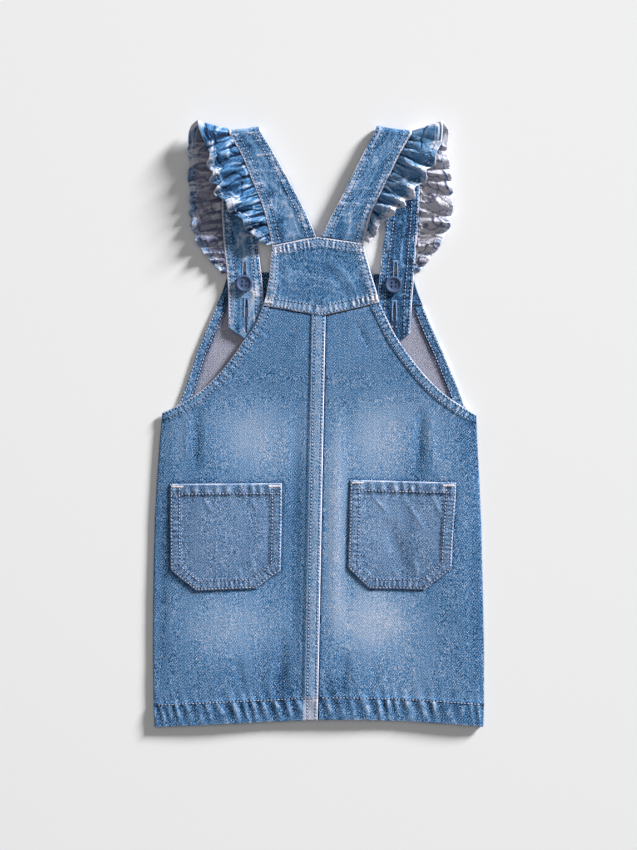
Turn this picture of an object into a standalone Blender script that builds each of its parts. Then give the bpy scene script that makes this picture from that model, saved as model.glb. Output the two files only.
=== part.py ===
"""A small child's denim bib pinafore, laid flat with its back up.

Every size below is in millimetres. The hem is towards -Y, the shoulders towards +Y,
and the front lies face down on the surface at Z = 0.
"""
import math
from collections import namedtuple

import bmesh
import bpy
from mathutils import Vector

MM = 0.001

# Driving dimensions
CLOTH = 1.2            # one layer of denim
TURNING = 1.0          # what a folded hem or band adds to a layer
SEAM_GAP = 0.3         # clear space between two pieces that are sewn together
STEP = 0.8             # run of the slope at the inner edge of a hem or band
FRONT_HEM_ARCH = 7.0   # how far the front's hem is drawn up at the middle
BACK_HEM_ARCH = 1.8    # how far the back's hem bows up over its right half
HEM_ARCH_TOP = -150.0  # where that curve has died out
HEM_ARCH_RUN = 80.0    # how far below that it has its full height
ARMHOLE_BAND = 8.0     # width of the turned armhole edge
FRONT_BAND = 8.8       # the same on the front, measured level
EDGE_CUT = 2.5         # first cut in from the back's edge, where it curves most
FELL = 12.0            # width of the felled seam down the back
YOKE_WALL = 2.2        # the yokes are two layers
YOKE_BAND = 7.0        # width of the stitched band down the back yoke's sides
YOKE_TURNING = 0.6     # how far the yoke's bands stand up
STRAP_WALL = 2.2       # the straps are two layers
FOLD_RADIUS = 3.0      # of the strap's middle where it turns over at the shoulder
STRAP_POINT = 11.4     # length of the pointed strap end
RUFFLE_WALL = 1.1
POCKET_BAND = 9.0      # turned-in edge of a pocket
POCKET_TURNING = 0.8   # how far that edge stands up
POCKET_PUFF = 0.7      # how far a pocket's middle stands off its panel
POCKET_REACH = 50.0    # half the width and height over which it does
BUTTON_WIDTH = 15.0
BUTTON_THICK = 3.0
BUTTON_RIM = 1.6       # width of the rim's flat top with its rounded corner
BUTTON_ROUND = 0.7     # run of that corner
BUTTON_SIDE = 1.0      # height of the button's side, and of the slope under it
BUTTON_DISH = 0.9      # how deep the middle lies under the rim
BUTTON_HOLE = 1.9
BUTTON_HOLE_PITCH = 3.6
BUTTONHOLE_LENGTH = 21.0
BUTTONHOLE_GAP = 1.2   # width of a buttonhole at its ends
BUTTONHOLE_GAPE = 0.5  # how far each side of it bows out at its middle

# Heights of the layers over the surface
BACK_LOW = CLOTH + SEAM_GAP        # the back's underside at the side seams
BACK_MIDDLE = 3.5                  # the back's underside over the skirt
STRAP_ON_BIB = YOKE_WALL + SEAM_GAP                # a strap's underside on the bib
BACK_HIGH = STRAP_ON_BIB + STRAP_WALL + SEAM_GAP   # the back's underside over the strap ends
BACK_CLIMB = 62.0                  # run over which the back climbs from one to the other
SIDE_ROLL = 16.0                   # how far in from a side seam the back reaches its height
SKIRT_WAVE = 0.6                   # height of the soft waves across the skirt
SKIRT_WAVE_RUN = 17.0              # their length, in millimetres for each radian
SKIRT_WAVE_START = 0.6             # their phase at the middle, in radians
SKIRT_WAVE_TOP = -60.0             # where they begin to die out
SKIRT_WAVE_FADE = 100.0            # run over which they do
HEM_RAMP_TOP = 10.0                # how far above the front's thick hem the back rises onto it
HEM_RAMP = 8.0                     # run over which it does
FLOOR_Z = STRAP_WALL / 2           # the middle of a strap that lies on the surface
BIB_Z = STRAP_ON_BIB + STRAP_WALL / 2

DENIM_BLUE = (0.115, 0.225, 0.43)
DENIM_DEEP = (0.075, 0.165, 0.36)
DENIM_INSIDE = (0.36, 0.36, 0.43)
BUTTON_NAVY = (0.035, 0.075, 0.19)

FRONT_COLUMNS = 12     # cells across the front, two of them in each side's band

# The front's outline, a row for each height up from the hem
FrontRow = namedtuple("FrontRow", "left_x left_y right_x right_y")
FRONT_SKIRT_ROWS = (
    FrontRow(-143.2, -265.2, 144.2, -264.8),
    FrontRow(-144.3, -244.0, 145.0, -243.0),
    FrontRow(-144.3, -243.2, 145.0, -242.2),
    FrontRow(-145.2, -180.0, 145.2, -180.0),
    FrontRow(-144.5, -128.0, 144.0, -128.0),
    FrontRow(-143.2, -84.0, 142.4, -84.0),
    FrontRow(-141.2, -45.0, 140.6, -45.0),
    FrontRow(-138.0, 0.0, 138.5, 0.0),
    FrontRow(-130.5, 10.5, 132.5, 10.5),
    FrontRow(-122.2, 19.2, 127.4, 19.2),
    FrontRow(-116.5, 34.4, 121.6, 34.4),
    FrontRow(-107.4, 63.0, 109.8, 63.0),
    FrontRow(-98.0, 85.5, 99.4, 85.5),
    FrontRow(-89.9, 103.8, 92.0, 103.8),
)
FRONT_YOKE_ROWS = (
    FrontRow(-89.7, 104.1, 91.8, 104.1),
    FrontRow(-84.4, 117.0, 87.0, 116.5),
    FrontRow(-79.0, 134.2, 82.4, 131.8),
)

# The back's outline: both outer edges, and the height of the same row at the middle
BackRow = namedtuple("BackRow", "left_x left_y right_x right_y middle_y")
BACK_SIDE_ROWS = (
    BackRow(-143.9, -266.0, 144.8, -265.6, -259.4),
    BackRow(-144.8, -245.0, 145.5, -243.4, -237.6),
    BackRow(-144.9, -244.2, 145.5, -242.6, -236.8),
    BackRow(-145.6, -200.0, 145.6, -200.0, -197.0),
    BackRow(-145.4, -160.0, 144.9, -160.0, -158.0),
    BackRow(-144.9, -122.0, 143.9, -122.0, -121.0),
    BackRow(-143.9, -84.0, 143.0, -84.0, -86.0),
    BackRow(-142.0, -48.0, 141.4, -48.0, -54.0),
    BackRow(-139.9, -18.0, 139.8, -18.0, -26.0),
    BackRow(-137.2, 10.5, 138.6, 8.3, -2.0),
)
BACK_ARMHOLE_ROWS = (
    BackRow(-122.8, 16.7, 122.6, 18.2, 14.0),
    BackRow(-103.6, 29.3, 108.0, 28.6, 30.0),
    BackRow(-91.4, 40.5, 92.6, 44.0, 45.0),
    BackRow(-77.3, 56.6, 78.6, 61.7, 60.0),
    BackRow(-66.2, 72.8, 67.6, 78.0, 74.0),
    BackRow(-55.8, 87.0, 60.0, 93.0, 85.0),
    BackRow(-48.9, 103.9, 53.5, 106.5, 94.9),
)
FELL_TOP_X, FELL_TOP_Y = 6.2, 95.0         # right edge of the felled seam
FELL_HEM_X, FELL_HEM_Y = -0.8, -259.4

# The back yoke: its two sides and its middle, from the V edge up
YokeRow = namedtuple("YokeRow", "left_x left_y middle_x middle_y right_x right_y")
BACK_YOKE_ROWS = (
    YokeRow(-48.8, 104.3, 3.4, 95.5, 53.4, 106.9),
    YokeRow(-46.0, 113.5, 2.6, 105.4, 51.0, 116.5),
    YokeRow(-45.8, 114.3, 2.5, 106.2, 50.8, 117.3),
    YokeRow(-43.2, 130.0, 0.8, 130.0, 46.2, 132.0),
    YokeRow(-42.2, 147.6, -0.6, 154.6, 41.4, 149.0),
    YokeRow(-42.0, 148.4, -0.7, 155.4, 41.2, 149.8),
    YokeRow(-40.8, 157.0, -0.9, 164.4, 39.4, 158.6),
)

# A strap's two edges from the yoke up to the shoulder, then from the shoulder down
# to its end; z is the height of the strap's middle
StrapRow = namedtuple("StrapRow", "outer_x outer_y inner_x inner_y z")
STRAPS = {
    "left": {
        "back": (
            StrapRow(-40.9, 157.5, -2.2, 164.8, 6.4),
            StrapRow(-43.8, 171.5, -8.2, 179.0, 6.7),
            StrapRow(-49.5, 192.5, -17.6, 198.5, 7.0),
            StrapRow(-57.9, 212.8, -27.4, 216.8, 7.1),
            StrapRow(-67.1, 235.5, -40.4, 240.3, 7.1),
        ),
        "fold": StrapRow(-78.5, 258.6, -52.0, 261.6, 0.0),
        "front": (
            StrapRow(-83.8, 228.0, -55.4, 230.0, FLOOR_Z),
            StrapRow(-85.0, 205.0, -56.2, 205.0, FLOOR_Z),
            StrapRow(-84.6, 180.0, -55.0, 180.0, FLOOR_Z),
            StrapRow(-83.0, 156.0, -53.0, 156.0, 1.7),
            StrapRow(-80.9, 138.0, -50.8, 138.0, BIB_Z),
            StrapRow(-79.4, 116.0, -48.6, 116.0, BIB_Z),
            StrapRow(-79.1, 85.0, -48.3, 85.0, BIB_Z),
        ),
    },
    "right": {
        "back": (
            StrapRow(39.6, 159.1, 1.8, 164.9, 6.4),
            StrapRow(46.2, 184.2, 13.4, 187.4, 6.9),
            StrapRow(51.5, 196.0, 19.4, 198.6, 7.0),
            StrapRow(62.4, 218.7, 28.8, 217.6, 7.1),
            StrapRow(72.5, 238.9, 39.6, 238.6, 7.1),
        ),
        "fold": StrapRow(81.8, 257.8, 50.6, 262.3, 0.0),
        "front": (
            StrapRow(87.6, 228.0, 59.0, 230.0, FLOOR_Z),
            StrapRow(89.0, 208.0, 60.6, 208.0, FLOOR_Z),
            StrapRow(88.0, 180.0, 59.4, 180.0, FLOOR_Z),
            StrapRow(86.0, 156.0, 56.4, 156.0, 1.7),
            StrapRow(84.6, 138.0, 54.4, 138.0, BIB_Z),
            StrapRow(82.4, 112.0, 51.8, 112.0, BIB_Z),
            StrapRow(80.4, 80.0, 50.2, 80.0, BIB_Z),
        ),
    },
}

# A place along a strap is 0 to 1 up the back, 1 to 2 round the shoulder and 2 to 3 down
# the front; each of the three is cut across in equal steps
STRAP_STEPS = (12, 6, 42)
STRAP_STATIONS = [first + k / steps for first, steps in enumerate(STRAP_STEPS)
                  for k in range(steps)] + [3.0]
STRAP_LANES = (0.0, 0.24, 0.48, 0.52, 0.76, 1.0)       # cuts along it, from its outer edge

# A ruffle's free edge. along is the place on the strap's outer edge that the row is sewn to.
RuffleRow = namedtuple("RuffleRow", "along x y z")
RUFFLE_EDGES = {
    "left": (
        RuffleRow(0.03, -45.4, 157.2, 7.2),
        RuffleRow(0.14, -53.5, 161.8, 9.5),
        RuffleRow(0.26, -63.5, 172.0, 12.5),
        RuffleRow(0.38, -73.0, 183.8, 14.5),
        RuffleRow(0.52, -83.5, 192.5, 15.5),
        RuffleRow(0.66, -91.0, 208.0, 16.0),
        RuffleRow(0.80, -95.5, 224.0, 16.0),
        RuffleRow(0.92, -97.0, 240.0, 16.0),
        RuffleRow(1.15, -105.0, 259.0, 15.0),
        RuffleRow(1.50, -108.5, 265.4, 10.5),
        RuffleRow(1.85, -112.4, 257.0, 6.0),
        RuffleRow(2.06, -114.6, 243.0, 5.0),
        RuffleRow(2.16, -113.8, 224.0, 4.8),
        RuffleRow(2.28, -113.6, 202.0, 4.8),
        RuffleRow(2.40, -112.0, 180.0, 4.8),
        RuffleRow(2.52, -108.0, 161.5, 4.6),
        RuffleRow(2.64, -97.5, 146.0, 4.8),
        RuffleRow(2.745, -84.8, 132.4, 4.6),
    ),
    "right": (
        RuffleRow(0.03, 44.4, 159.4, 7.2),
        RuffleRow(0.14, 50.5, 167.5, 9.5),
        RuffleRow(0.26, 58.5, 179.0, 12.5),
        RuffleRow(0.38, 68.5, 186.5, 14.5),
        RuffleRow(0.52, 80.0, 197.0, 15.5),
        RuffleRow(0.66, 91.0, 212.5, 16.0),
        RuffleRow(0.80, 99.5, 227.0, 16.0),
        RuffleRow(0.92, 106.5, 242.0, 16.0),
        RuffleRow(1.15, 108.6, 260.0, 15.0),
        RuffleRow(1.50, 109.4, 265.6, 10.5),
        RuffleRow(1.85, 113.6, 256.0, 6.0),
        RuffleRow(2.06, 113.4, 241.0, 5.0),
        RuffleRow(2.16, 115.6, 222.0, 4.8),
        RuffleRow(2.28, 117.6, 201.0, 4.8),
        RuffleRow(2.40, 116.4, 180.0, 4.8),
        RuffleRow(2.52, 110.4, 164.0, 4.6),
        RuffleRow(2.64, 99.8, 148.0, 4.8),
        RuffleRow(2.745, 88.2, 133.6, 4.6),
    ),
}
# Gathers of a ruffle, a row for each stretch of it: how many waves its free edge has,
# their height there and close to the seam, and how far they lean along the edge
Gathers = namedtuple("Gathers", "start end waves edge_height seam_height lean")
RUFFLE_GATHERS = (
    Gathers(0.0, 1.0, 7, 3.9, 1.0, 1.3),
    Gathers(1.0, 2.0, 1, 0.6, 0.2, 0.0),
    Gathers(2.0, 2.75, 8, 3.0, 1.0, 1.4),
)
RUFFLE_LOBES = 0.05    # share by which a ruffle's free edge bows out and in
RUFFLE_LOBE_PHASE = 2.2                        # and how far behind its waves it does
RUFFLE_SHIFT = {"left": 0.0, "right": 1.9}     # where the uneven waves of each ruffle start
RUFFLE_RISE = 1.3      # the waves have their full height at 1 / 1.3 of the way out
GATHER_PHASE = 0.9     # of the small gathers at the seam, two for each wave
GATHER_IN = 0.125      # the way out, as a share, over which they come in
GATHER_HOLD = 0.2      # how far out they keep their height
GATHER_OUT = 0.6       # the share over which they then die out
# The beats in the places and in the heights of a ruffle's waves; shift counts RUFFLE_SHIFT
Beat = namedtuple("Beat", "size rate phase shift")
PLACE_BEATS = (Beat(0.040, 8.2, 0.0, 1.0), Beat(0.016, 19.0, 0.0, 2.0))
HEIGHT_BEAT = Beat(0.25, 14.0, 1.7, 1.0)
RUFFLE_STEPS = (56, 6, 64)                     # cells along each stretch of a ruffle
RUFFLE_LANES = (0.0, 0.14, 0.34, 0.66, 1.0)    # cuts along it, from the seam

# The pockets, a row for each height from the bottom edge up
PocketRow = namedtuple("PocketRow", "left_x left_y right_x right_y")
POCKETS = {
    "left": (
        PocketRow(-107.6, -145.9, -55.1, -144.0),
        PocketRow(-119.0, -136.9, -44.0, -135.4),
        PocketRow(-120.0, -136.1, -43.0, -134.6),
        PocketRow(-129.8, -127.6, -33.4, -128.6),
        PocketRow(-130.2, -102.0, -32.9, -103.0),
        PocketRow(-130.4, -80.0, -32.5, -80.0),
        PocketRow(-130.3, -63.0, -32.3, -62.5),
        PocketRow(-130.3, -62.2, -32.3, -61.7),
        PocketRow(-130.3, -52.2, -32.3, -51.7),
    ),
    "right": (
        PocketRow(44.8, -144.1, 92.8, -145.1),
        PocketRow(35.4, -135.4, 104.0, -136.3),
        PocketRow(34.6, -134.6, 105.0, -135.5),
        PocketRow(25.9, -125.8, 116.5, -126.5),
        PocketRow(26.6, -102.0, 117.6, -102.0),
        PocketRow(27.2, -80.0, 119.0, -80.0),
        PocketRow(27.6, -59.5, 120.4, -61.8),
        PocketRow(27.6, -58.7, 120.4, -61.0),
        PocketRow(27.8, -48.7, 120.6, -51.1),
    ),
}

# The buttons' centres, and the middles of each strap's two buttonholes
Place = namedtuple("Place", "x y")
BUTTONS = {"left": Place(-65.2, 123.7), "right": Place(65.9, 122.7)}
BUTTONHOLES = {
    "left": (Place(-65.0, 132.0), Place(-63.4, 100.0)),
    "right": (Place(67.6, 132.0), Place(66.6, 97.0)),
}


def clear_scene():
    for thing in list(bpy.data.objects):
        bpy.data.objects.remove(thing, do_unlink=True)


def cloth_material(name, colour, roughness=0.9):
    material = bpy.data.materials.new(name)
    material.use_nodes = True
    shader = material.node_tree.nodes["Principled BSDF"]
    shader.inputs["Base Color"].default_value = (*colour, 1.0)
    shader.inputs["Roughness"].default_value = roughness
    shader.inputs["Metallic"].default_value = 0.0
    return material


def lerp(a, b, share):
    return a + (b - a) * share


def ease(share):
    """0 below 0, 1 above 1, and a smooth rise between."""
    share = min(max(share, 0.0), 1.0)
    return share * share * (3.0 - 2.0 * share)


def spread(start, end, steps):
    """The places strictly between start and end that divide it into equal steps."""
    return [lerp(start, end, k / steps) for k in range(1, steps)]


def smooth_row(rows, at):
    """A row read between the rows of a table, on a curve through all of them."""
    at = min(max(at, 0.0), len(rows) - 1.0)
    first = min(int(at), len(rows) - 2)
    share = at - first
    before = rows[max(first - 1, 0)]
    after = rows[min(first + 2, len(rows) - 1)]
    here, there = rows[first], rows[first + 1]
    values = []
    for a, b, c, d in zip(before, here, there, after):
        bend = (2 * a - 5 * b + 4 * c - d) + (3 * b - a - 3 * c + d) * share
        values.append(0.5 * (2 * b + (c - a) * share + bend * share * share))
    return type(here)(*values)


def cut_in_halves(rows, first_whole=0):
    """The rows of a table with one more, on the same curve, in each space after first_whole."""
    fuller = []
    for number in range(len(rows)):
        fuller.append(rows[number])
        if first_whole <= number < len(rows) - 1:
            fuller.append(smooth_row(rows, number + 0.5))
    return fuller


def finish(name, mesh_data, material):
    bmesh.ops.recalc_face_normals(mesh_data, faces=mesh_data.faces[:])
    mesh = bpy.data.meshes.new(name)
    mesh_data.to_mesh(mesh)
    mesh_data.free()
    mesh.materials.append(material)
    mesh.shade_smooth()
    mesh.set_sharp_from_angle(angle=math.radians(40))
    piece = bpy.data.objects.new(name, mesh)
    bpy.context.collection.objects.link(piece)
    return piece


def wall(name, across, along, inner, outer, material, is_hole=None):
    """A closed wall of cloth. inner and outer give a point in millimetres for each
    crossing of the grid, counted across and along; is_hole marks cells to leave out."""
    shape = bmesh.new()
    bmesh.ops.create_grid(shape, x_segments=across, y_segments=along, size=0.5)
    column = shape.verts.layers.int.new("column")
    row = shape.verts.layers.int.new("row")
    for vert in shape.verts:
        vert[column] = round((vert.co.x + 0.5) * across)
        vert[row] = round((vert.co.y + 0.5) * along)
    if is_hole:
        gone = []
        for face in shape.faces:
            low_column = min(vert[column] for vert in face.verts)
            low_row = min(vert[row] for vert in face.verts)
            if is_hole(low_column, low_row):
                gone.append(face)
        bmesh.ops.delete(shape, geom=gone, context="FACES")
    for vert in shape.verts:
        vert.co = Vector(inner(vert[column], vert[row])) * MM
    grown = bmesh.ops.extrude_face_region(shape, geom=shape.faces[:], use_keep_orig=True)
    for vert in grown["geom"]:
        if isinstance(vert, bmesh.types.BMVert):
            vert.co = Vector(outer(vert[column], vert[row])) * MM
    return finish(name, shape, material)


def panel(name, plan, floor, thickness, columns, rows, material):
    """A level panel: plan gives x and y, floor the height of its underside there."""
    def lower(column, row):
        x, y = plan(column, row)
        return (x, y, floor(x, y))

    def upper(column, row):
        x, y = plan(column, row)
        return (x, y, floor(x, y) + thickness(column, row))

    return wall(name, columns, rows, lower, upper, material)


def front_piece(name, rows, thickness, material):
    """A panel of the front: its rows run level from edge to edge."""
    inset = (0.0, FRONT_BAND, FRONT_BAND + STEP)
    middle = FRONT_COLUMNS - 2 * (len(inset) - 1)

    def plan(column, row):
        line = rows[row]
        width = line.right_x - line.left_x
        places = [*inset, *spread(inset[-1], width - inset[-1], middle)]
        places += [width - offset for offset in reversed(inset)]
        share = places[column] / width
        x, y = line.left_x + places[column], lerp(line.left_y, line.right_y, share)
        return arched(x, y, FRONT_HEM_ARCH, 0.0, line.right_x)

    def floor(x, y):
        return 0.0

    return panel(name, plan, floor, thickness, FRONT_COLUMNS, len(rows) - 1, material)


def build_front():
    rows = FRONT_SKIRT_ROWS
    first_armhole_row = 9
    hem_rows = 2

    def thickness(column, row):
        in_band = column <= 1 or column >= FRONT_COLUMNS - 1
        if row < hem_rows or (in_band and row >= first_armhole_row):
            return CLOTH + TURNING
        return CLOTH

    front_piece("front_skirt", rows, thickness, cloth_material("denim_inside", DENIM_INSIDE))
    front_piece("front_yoke", FRONT_YOKE_ROWS, lambda column, row: YOKE_WALL,
                cloth_material("yoke_inside", DENIM_DEEP))


def arched(x, y, rise, centre, half_width):
    """A point of a level row near the hem, moved up with the hem's arch."""
    share = max(0.0, 1.0 - ((x - centre) / half_width) ** 2)
    return x, y + rise * share * ease((HEM_ARCH_TOP - y) / HEM_ARCH_RUN)


def side_seam_x(y, side):
    """Where the side seam lies at a height on the skirt; above it, its top end."""
    rows = BACK_SIDE_ROWS
    for low, high in zip(rows, rows[1:]):
        low_y, high_y = (low.left_y, high.left_y) if side == "left" else (low.right_y, high.right_y)
        if y <= high_y:
            low_x, high_x = (low.left_x, high.left_x) if side == "left" else (low.right_x, high.right_x)
            return lerp(low_x, high_x, max(0.0, (y - low_y) / (high_y - low_y)))
    return rows[-1].left_x if side == "left" else rows[-1].right_x


def back_floor(x, y):
    """The height of the back's underside over the surface."""
    side = "left" if x < 0 else "right"
    inward = abs(side_seam_x(y, side)) - abs(x)
    share = min(max(inward / SIDE_ROLL, 0.0), 1.0)
    roll = math.sqrt(1.0 - (1.0 - share) ** 2)
    hem_top = BACK_SIDE_ROWS[2].left_y
    hem_lift = TURNING * ease((hem_top + HEM_RAMP_TOP - y) / HEM_RAMP)
    low = BACK_LOW + hem_lift
    climb = ease(y / BACK_CLIMB)
    high = lerp(BACK_MIDDLE, BACK_HIGH, climb)
    fade = 1.0 - ease((y - SKIRT_WAVE_TOP) / SKIRT_WAVE_FADE)
    wave = SKIRT_WAVE * fade * math.sin(x / SKIRT_WAVE_RUN + SKIRT_WAVE_START)
    return lerp(low, high + wave, roll)


def seam_x(y):
    """The right edge of the felled seam at a height."""
    share = (y - FELL_HEM_Y) / (FELL_TOP_Y - FELL_HEM_Y)
    return lerp(FELL_HEM_X, FELL_TOP_X, share)


def back_rows(side):
    """Each row of a back panel: its outer end, its inner end and the way in from the edge."""
    table = list(BACK_SIDE_ROWS) + cut_in_halves((BACK_SIDE_ROWS[-1], *BACK_ARMHOLE_ROWS), 1)[1:]
    ends = []
    for line in table:
        if side == "left":
            ends.append((Vector((line.left_x, line.left_y)),
                         Vector((seam_x(line.middle_y), line.middle_y))))
        else:
            ends.append((Vector((line.right_x, line.right_y)),
                         Vector((seam_x(line.middle_y) + SEAM_GAP, line.middle_y))))
    turn = 1.0 if side == "left" else -1.0
    ways = []
    for (start, _), (end, _) in zip(ends, ends[1:]):
        edge = (end - start).normalized()
        ways.append(Vector((edge.y, -edge.x)) * turn)
    rows = []
    for number, (outer, inner) in enumerate(ends):
        before = ways[max(number - 1, 0)]
        after = ways[min(number, len(ways) - 1)]
        if number in (0, len(ends) - 1):
            straight = (inner - outer).normalized()
            way_in = straight / straight.dot(before)
        else:
            way_in = (before + after) / (1.0 + before.dot(after))
        rows.append((outer, inner, way_in))
    return rows


def back_panel(side, material):
    rows = back_rows(side)
    corner = len(BACK_SIDE_ROWS) - 1
    edge_places = (0.0, EDGE_CUT, ARMHOLE_BAND, ARMHOLE_BAND + STEP, SIDE_ROLL)
    fell_places = (FELL + STEP, FELL, 0.0) if side == "left" else (0.0,)
    middle = 7
    columns = len(edge_places) - 1 + middle + len(fell_places) - 1

    def plan(column, row):
        outer, inner, way_in = rows[row]
        start = outer + way_in * edge_places[-1]
        back = (outer - inner).normalized()
        end = inner + back * fell_places[0]
        step = column - len(edge_places) + 1
        if column < len(edge_places):
            point = outer + way_in * edge_places[column]
        elif step <= middle:
            point = start.lerp(end, step / middle)
        else:
            point = inner + back * fell_places[step - middle]
        if side == "left":
            return tuple(point)
        return arched(point.x, point.y, BACK_HEM_ARCH, outer.x / 2, outer.x / 2)

    def thickness(column, row):
        in_hem = row < 2
        in_band = column <= 2 and row >= corner
        in_fell = side == "left" and column >= columns - 1
        return CLOTH + TURNING * (in_hem or in_band or in_fell)

    return panel(f"back_{side}", plan, back_floor, thickness, columns, len(rows) - 1, material)


def build_back():
    material = cloth_material("denim_back", DENIM_BLUE)
    for side in ("left", "right"):
        back_panel(side, material)


def build_back_yoke():
    inset = (0.0, YOKE_BAND, YOKE_BAND + STEP)
    half = 4
    rows = BACK_YOKE_ROWS
    columns = 2 * (len(inset) - 1 + half)

    def plan(column, row):
        line = rows[row]
        middle_column = columns // 2
        from_left = column <= middle_column
        count = column if from_left else columns - column
        end = Vector((line.left_x, line.left_y) if from_left else (line.right_x, line.right_y))
        middle = Vector((line.middle_x, line.middle_y))
        way = (middle - end).normalized()
        if count < len(inset):
            return tuple(end + way * inset[count])
        start = end + way * inset[-1]
        return tuple(start.lerp(middle, (count - len(inset) + 1) / half))

    def thickness(column, row):
        at_side = column <= 1 or column >= columns - 1
        at_end = row <= 1 or row >= len(rows) - 2
        return YOKE_WALL + YOKE_TURNING * (at_side or at_end)

    panel("back_yoke", plan, back_floor, thickness, columns, len(rows) - 1,
          cloth_material("denim_yoke", DENIM_DEEP))


def strap_point(side, along, across):
    """A point in the middle of a strap's thickness. along is 0 to 1 up the back, 1 to 2
    round the fold at the shoulder and 2 to 3 down the front; across is 0 at the outer edge."""
    table = STRAPS[side]
    fold = table["fold"]
    fold_way = Vector((fold.inner_x - fold.outer_x, fold.inner_y - fold.outer_y)).normalized()
    up = Vector((-fold_way.y, fold_way.x))
    if up.y < 0:
        up = -up
    reach = FOLD_RADIUS + STRAP_WALL / 2
    low_z = table["front"][0].z
    turn = StrapRow(fold.outer_x - up.x * reach, fold.outer_y - up.y * reach,
                    fold.inner_x - up.x * reach, fold.inner_y - up.y * reach, low_z)
    if along <= 1.0:
        rows = (*table["back"], turn._replace(z=low_z + 2 * FOLD_RADIUS))
        line = smooth_row(rows, along * (len(rows) - 1))
    elif along < 2.0:
        angle = math.pi * (along - 1.0)
        shift = FOLD_RADIUS * math.sin(angle)
        line = StrapRow(turn.outer_x + up.x * shift, turn.outer_y + up.y * shift,
                        turn.inner_x + up.x * shift, turn.inner_y + up.y * shift,
                        low_z + FOLD_RADIUS * (1.0 + math.cos(angle)))
    else:
        rows = (turn, *table["front"])
        line = smooth_row(rows, (along - 2.0) * (len(rows) - 1))
    x = lerp(line.outer_x, line.inner_x, across)
    y = lerp(line.outer_y, line.inner_y, across)
    return Vector((x, y, max(line.z, FLOOR_Z)))


def strap_chord(side, along, across):
    """A point on the straight run between two of a strap's stations."""
    for low, high in zip(STRAP_STATIONS, STRAP_STATIONS[1:]):
        if along <= high:
            break
    share = (along - low) / (high - low)
    return strap_point(side, low, across).lerp(strap_point(side, high, across), share)


def strap_end(side, along, across):
    """How far a point of the front part is drawn down by the pointed end."""
    last_rows = 1.0 / len(STRAPS[side]["front"])
    near_end = ease((along - (3.0 - last_rows)) / last_rows)
    return Vector((0.0, -STRAP_POINT * near_end * (1.0 - abs(2.0 * across - 1.0)), 0.0))


def buttonhole_rows(side):
    """The first and last of a strap's stations in each buttonhole, and its middle."""
    spans = []
    for hole in BUTTONHOLES[side]:
        inside = [number for number, along in enumerate(STRAP_STATIONS) if along > 2.0
                  and abs(strap_point(side, along, 0.5).y - hole.y) <= BUTTONHOLE_LENGTH / 2]
        spans.append((inside[0], inside[-1], hole))
    return spans


def build_straps():
    material = cloth_material("denim_strap", DENIM_BLUE)
    stations, lanes = STRAP_STATIONS, STRAP_LANES
    for side in ("left", "right"):
        spans = buttonhole_rows(side)

        def middle(column, row, side=side, spans=spans):
            along, across = stations[row], lanes[column]
            point = strap_point(side, along, across)
            if across in (lanes[2], lanes[3]) and along > 2.0:
                sign = -1.0 if across == lanes[2] else 1.0
                inward = 1.0 if side == "left" else -1.0
                for first, last, hole in spans:
                    if first <= row <= last:
                        share = (row - first) / (last - first)
                        opening = BUTTONHOLE_GAP / 2 + BUTTONHOLE_GAPE * math.sin(math.pi * share)
                        point.x = hole.x + sign * inward * opening
            return point + strap_end(side, along, across)

        def normal(column, row, middle=middle):
            last_column, last_row = len(lanes) - 1, len(stations) - 1
            run = middle(column, min(row + 1, last_row)) - middle(column, max(row - 1, 0))
            side_step = middle(min(column + 1, last_column), row) - middle(max(column - 1, 0), row)
            return run.cross(side_step).normalized()

        def inner(column, row, middle=middle, normal=normal):
            return middle(column, row) - normal(column, row) * (STRAP_WALL / 2)

        def outer(column, row, middle=middle, normal=normal):
            return middle(column, row) + normal(column, row) * (STRAP_WALL / 2)

        def is_hole(column, row, spans=spans):
            return column == 2 and any(first <= row < last for first, last, _ in spans)

        wall(f"strap_{side}", len(lanes) - 1, len(stations) - 1, inner, outer, material, is_hole)


def ruffle_edge(side, along):
    """A point on a ruffle's free edge, before its waves."""
    rows = RUFFLE_EDGES[side]
    along = min(max(along, rows[0].along), rows[-1].along)
    for number in range(len(rows) - 1):
        if along <= rows[number + 1].along:
            share = (along - rows[number].along) / (rows[number + 1].along - rows[number].along)
            line = smooth_row(rows, number + share)
            return Vector((line.x, line.y, line.z))
    return Vector((rows[-1].x, rows[-1].y, rows[-1].z))


def ruffle_base(side, along, out):
    """A point of a ruffle before its waves: out is 0 at the strap's seam, 1 at the free edge."""
    seam = strap_chord(side, along, 0.0)
    away = (seam - strap_chord(side, along, 1.0)).normalized()
    start = seam + away * SEAM_GAP
    end = ruffle_edge(side, along)
    flat = start.lerp(end, out)
    flat.z = lerp(start.z, end.z, math.sin(out * math.pi / 2))
    return flat


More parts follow.
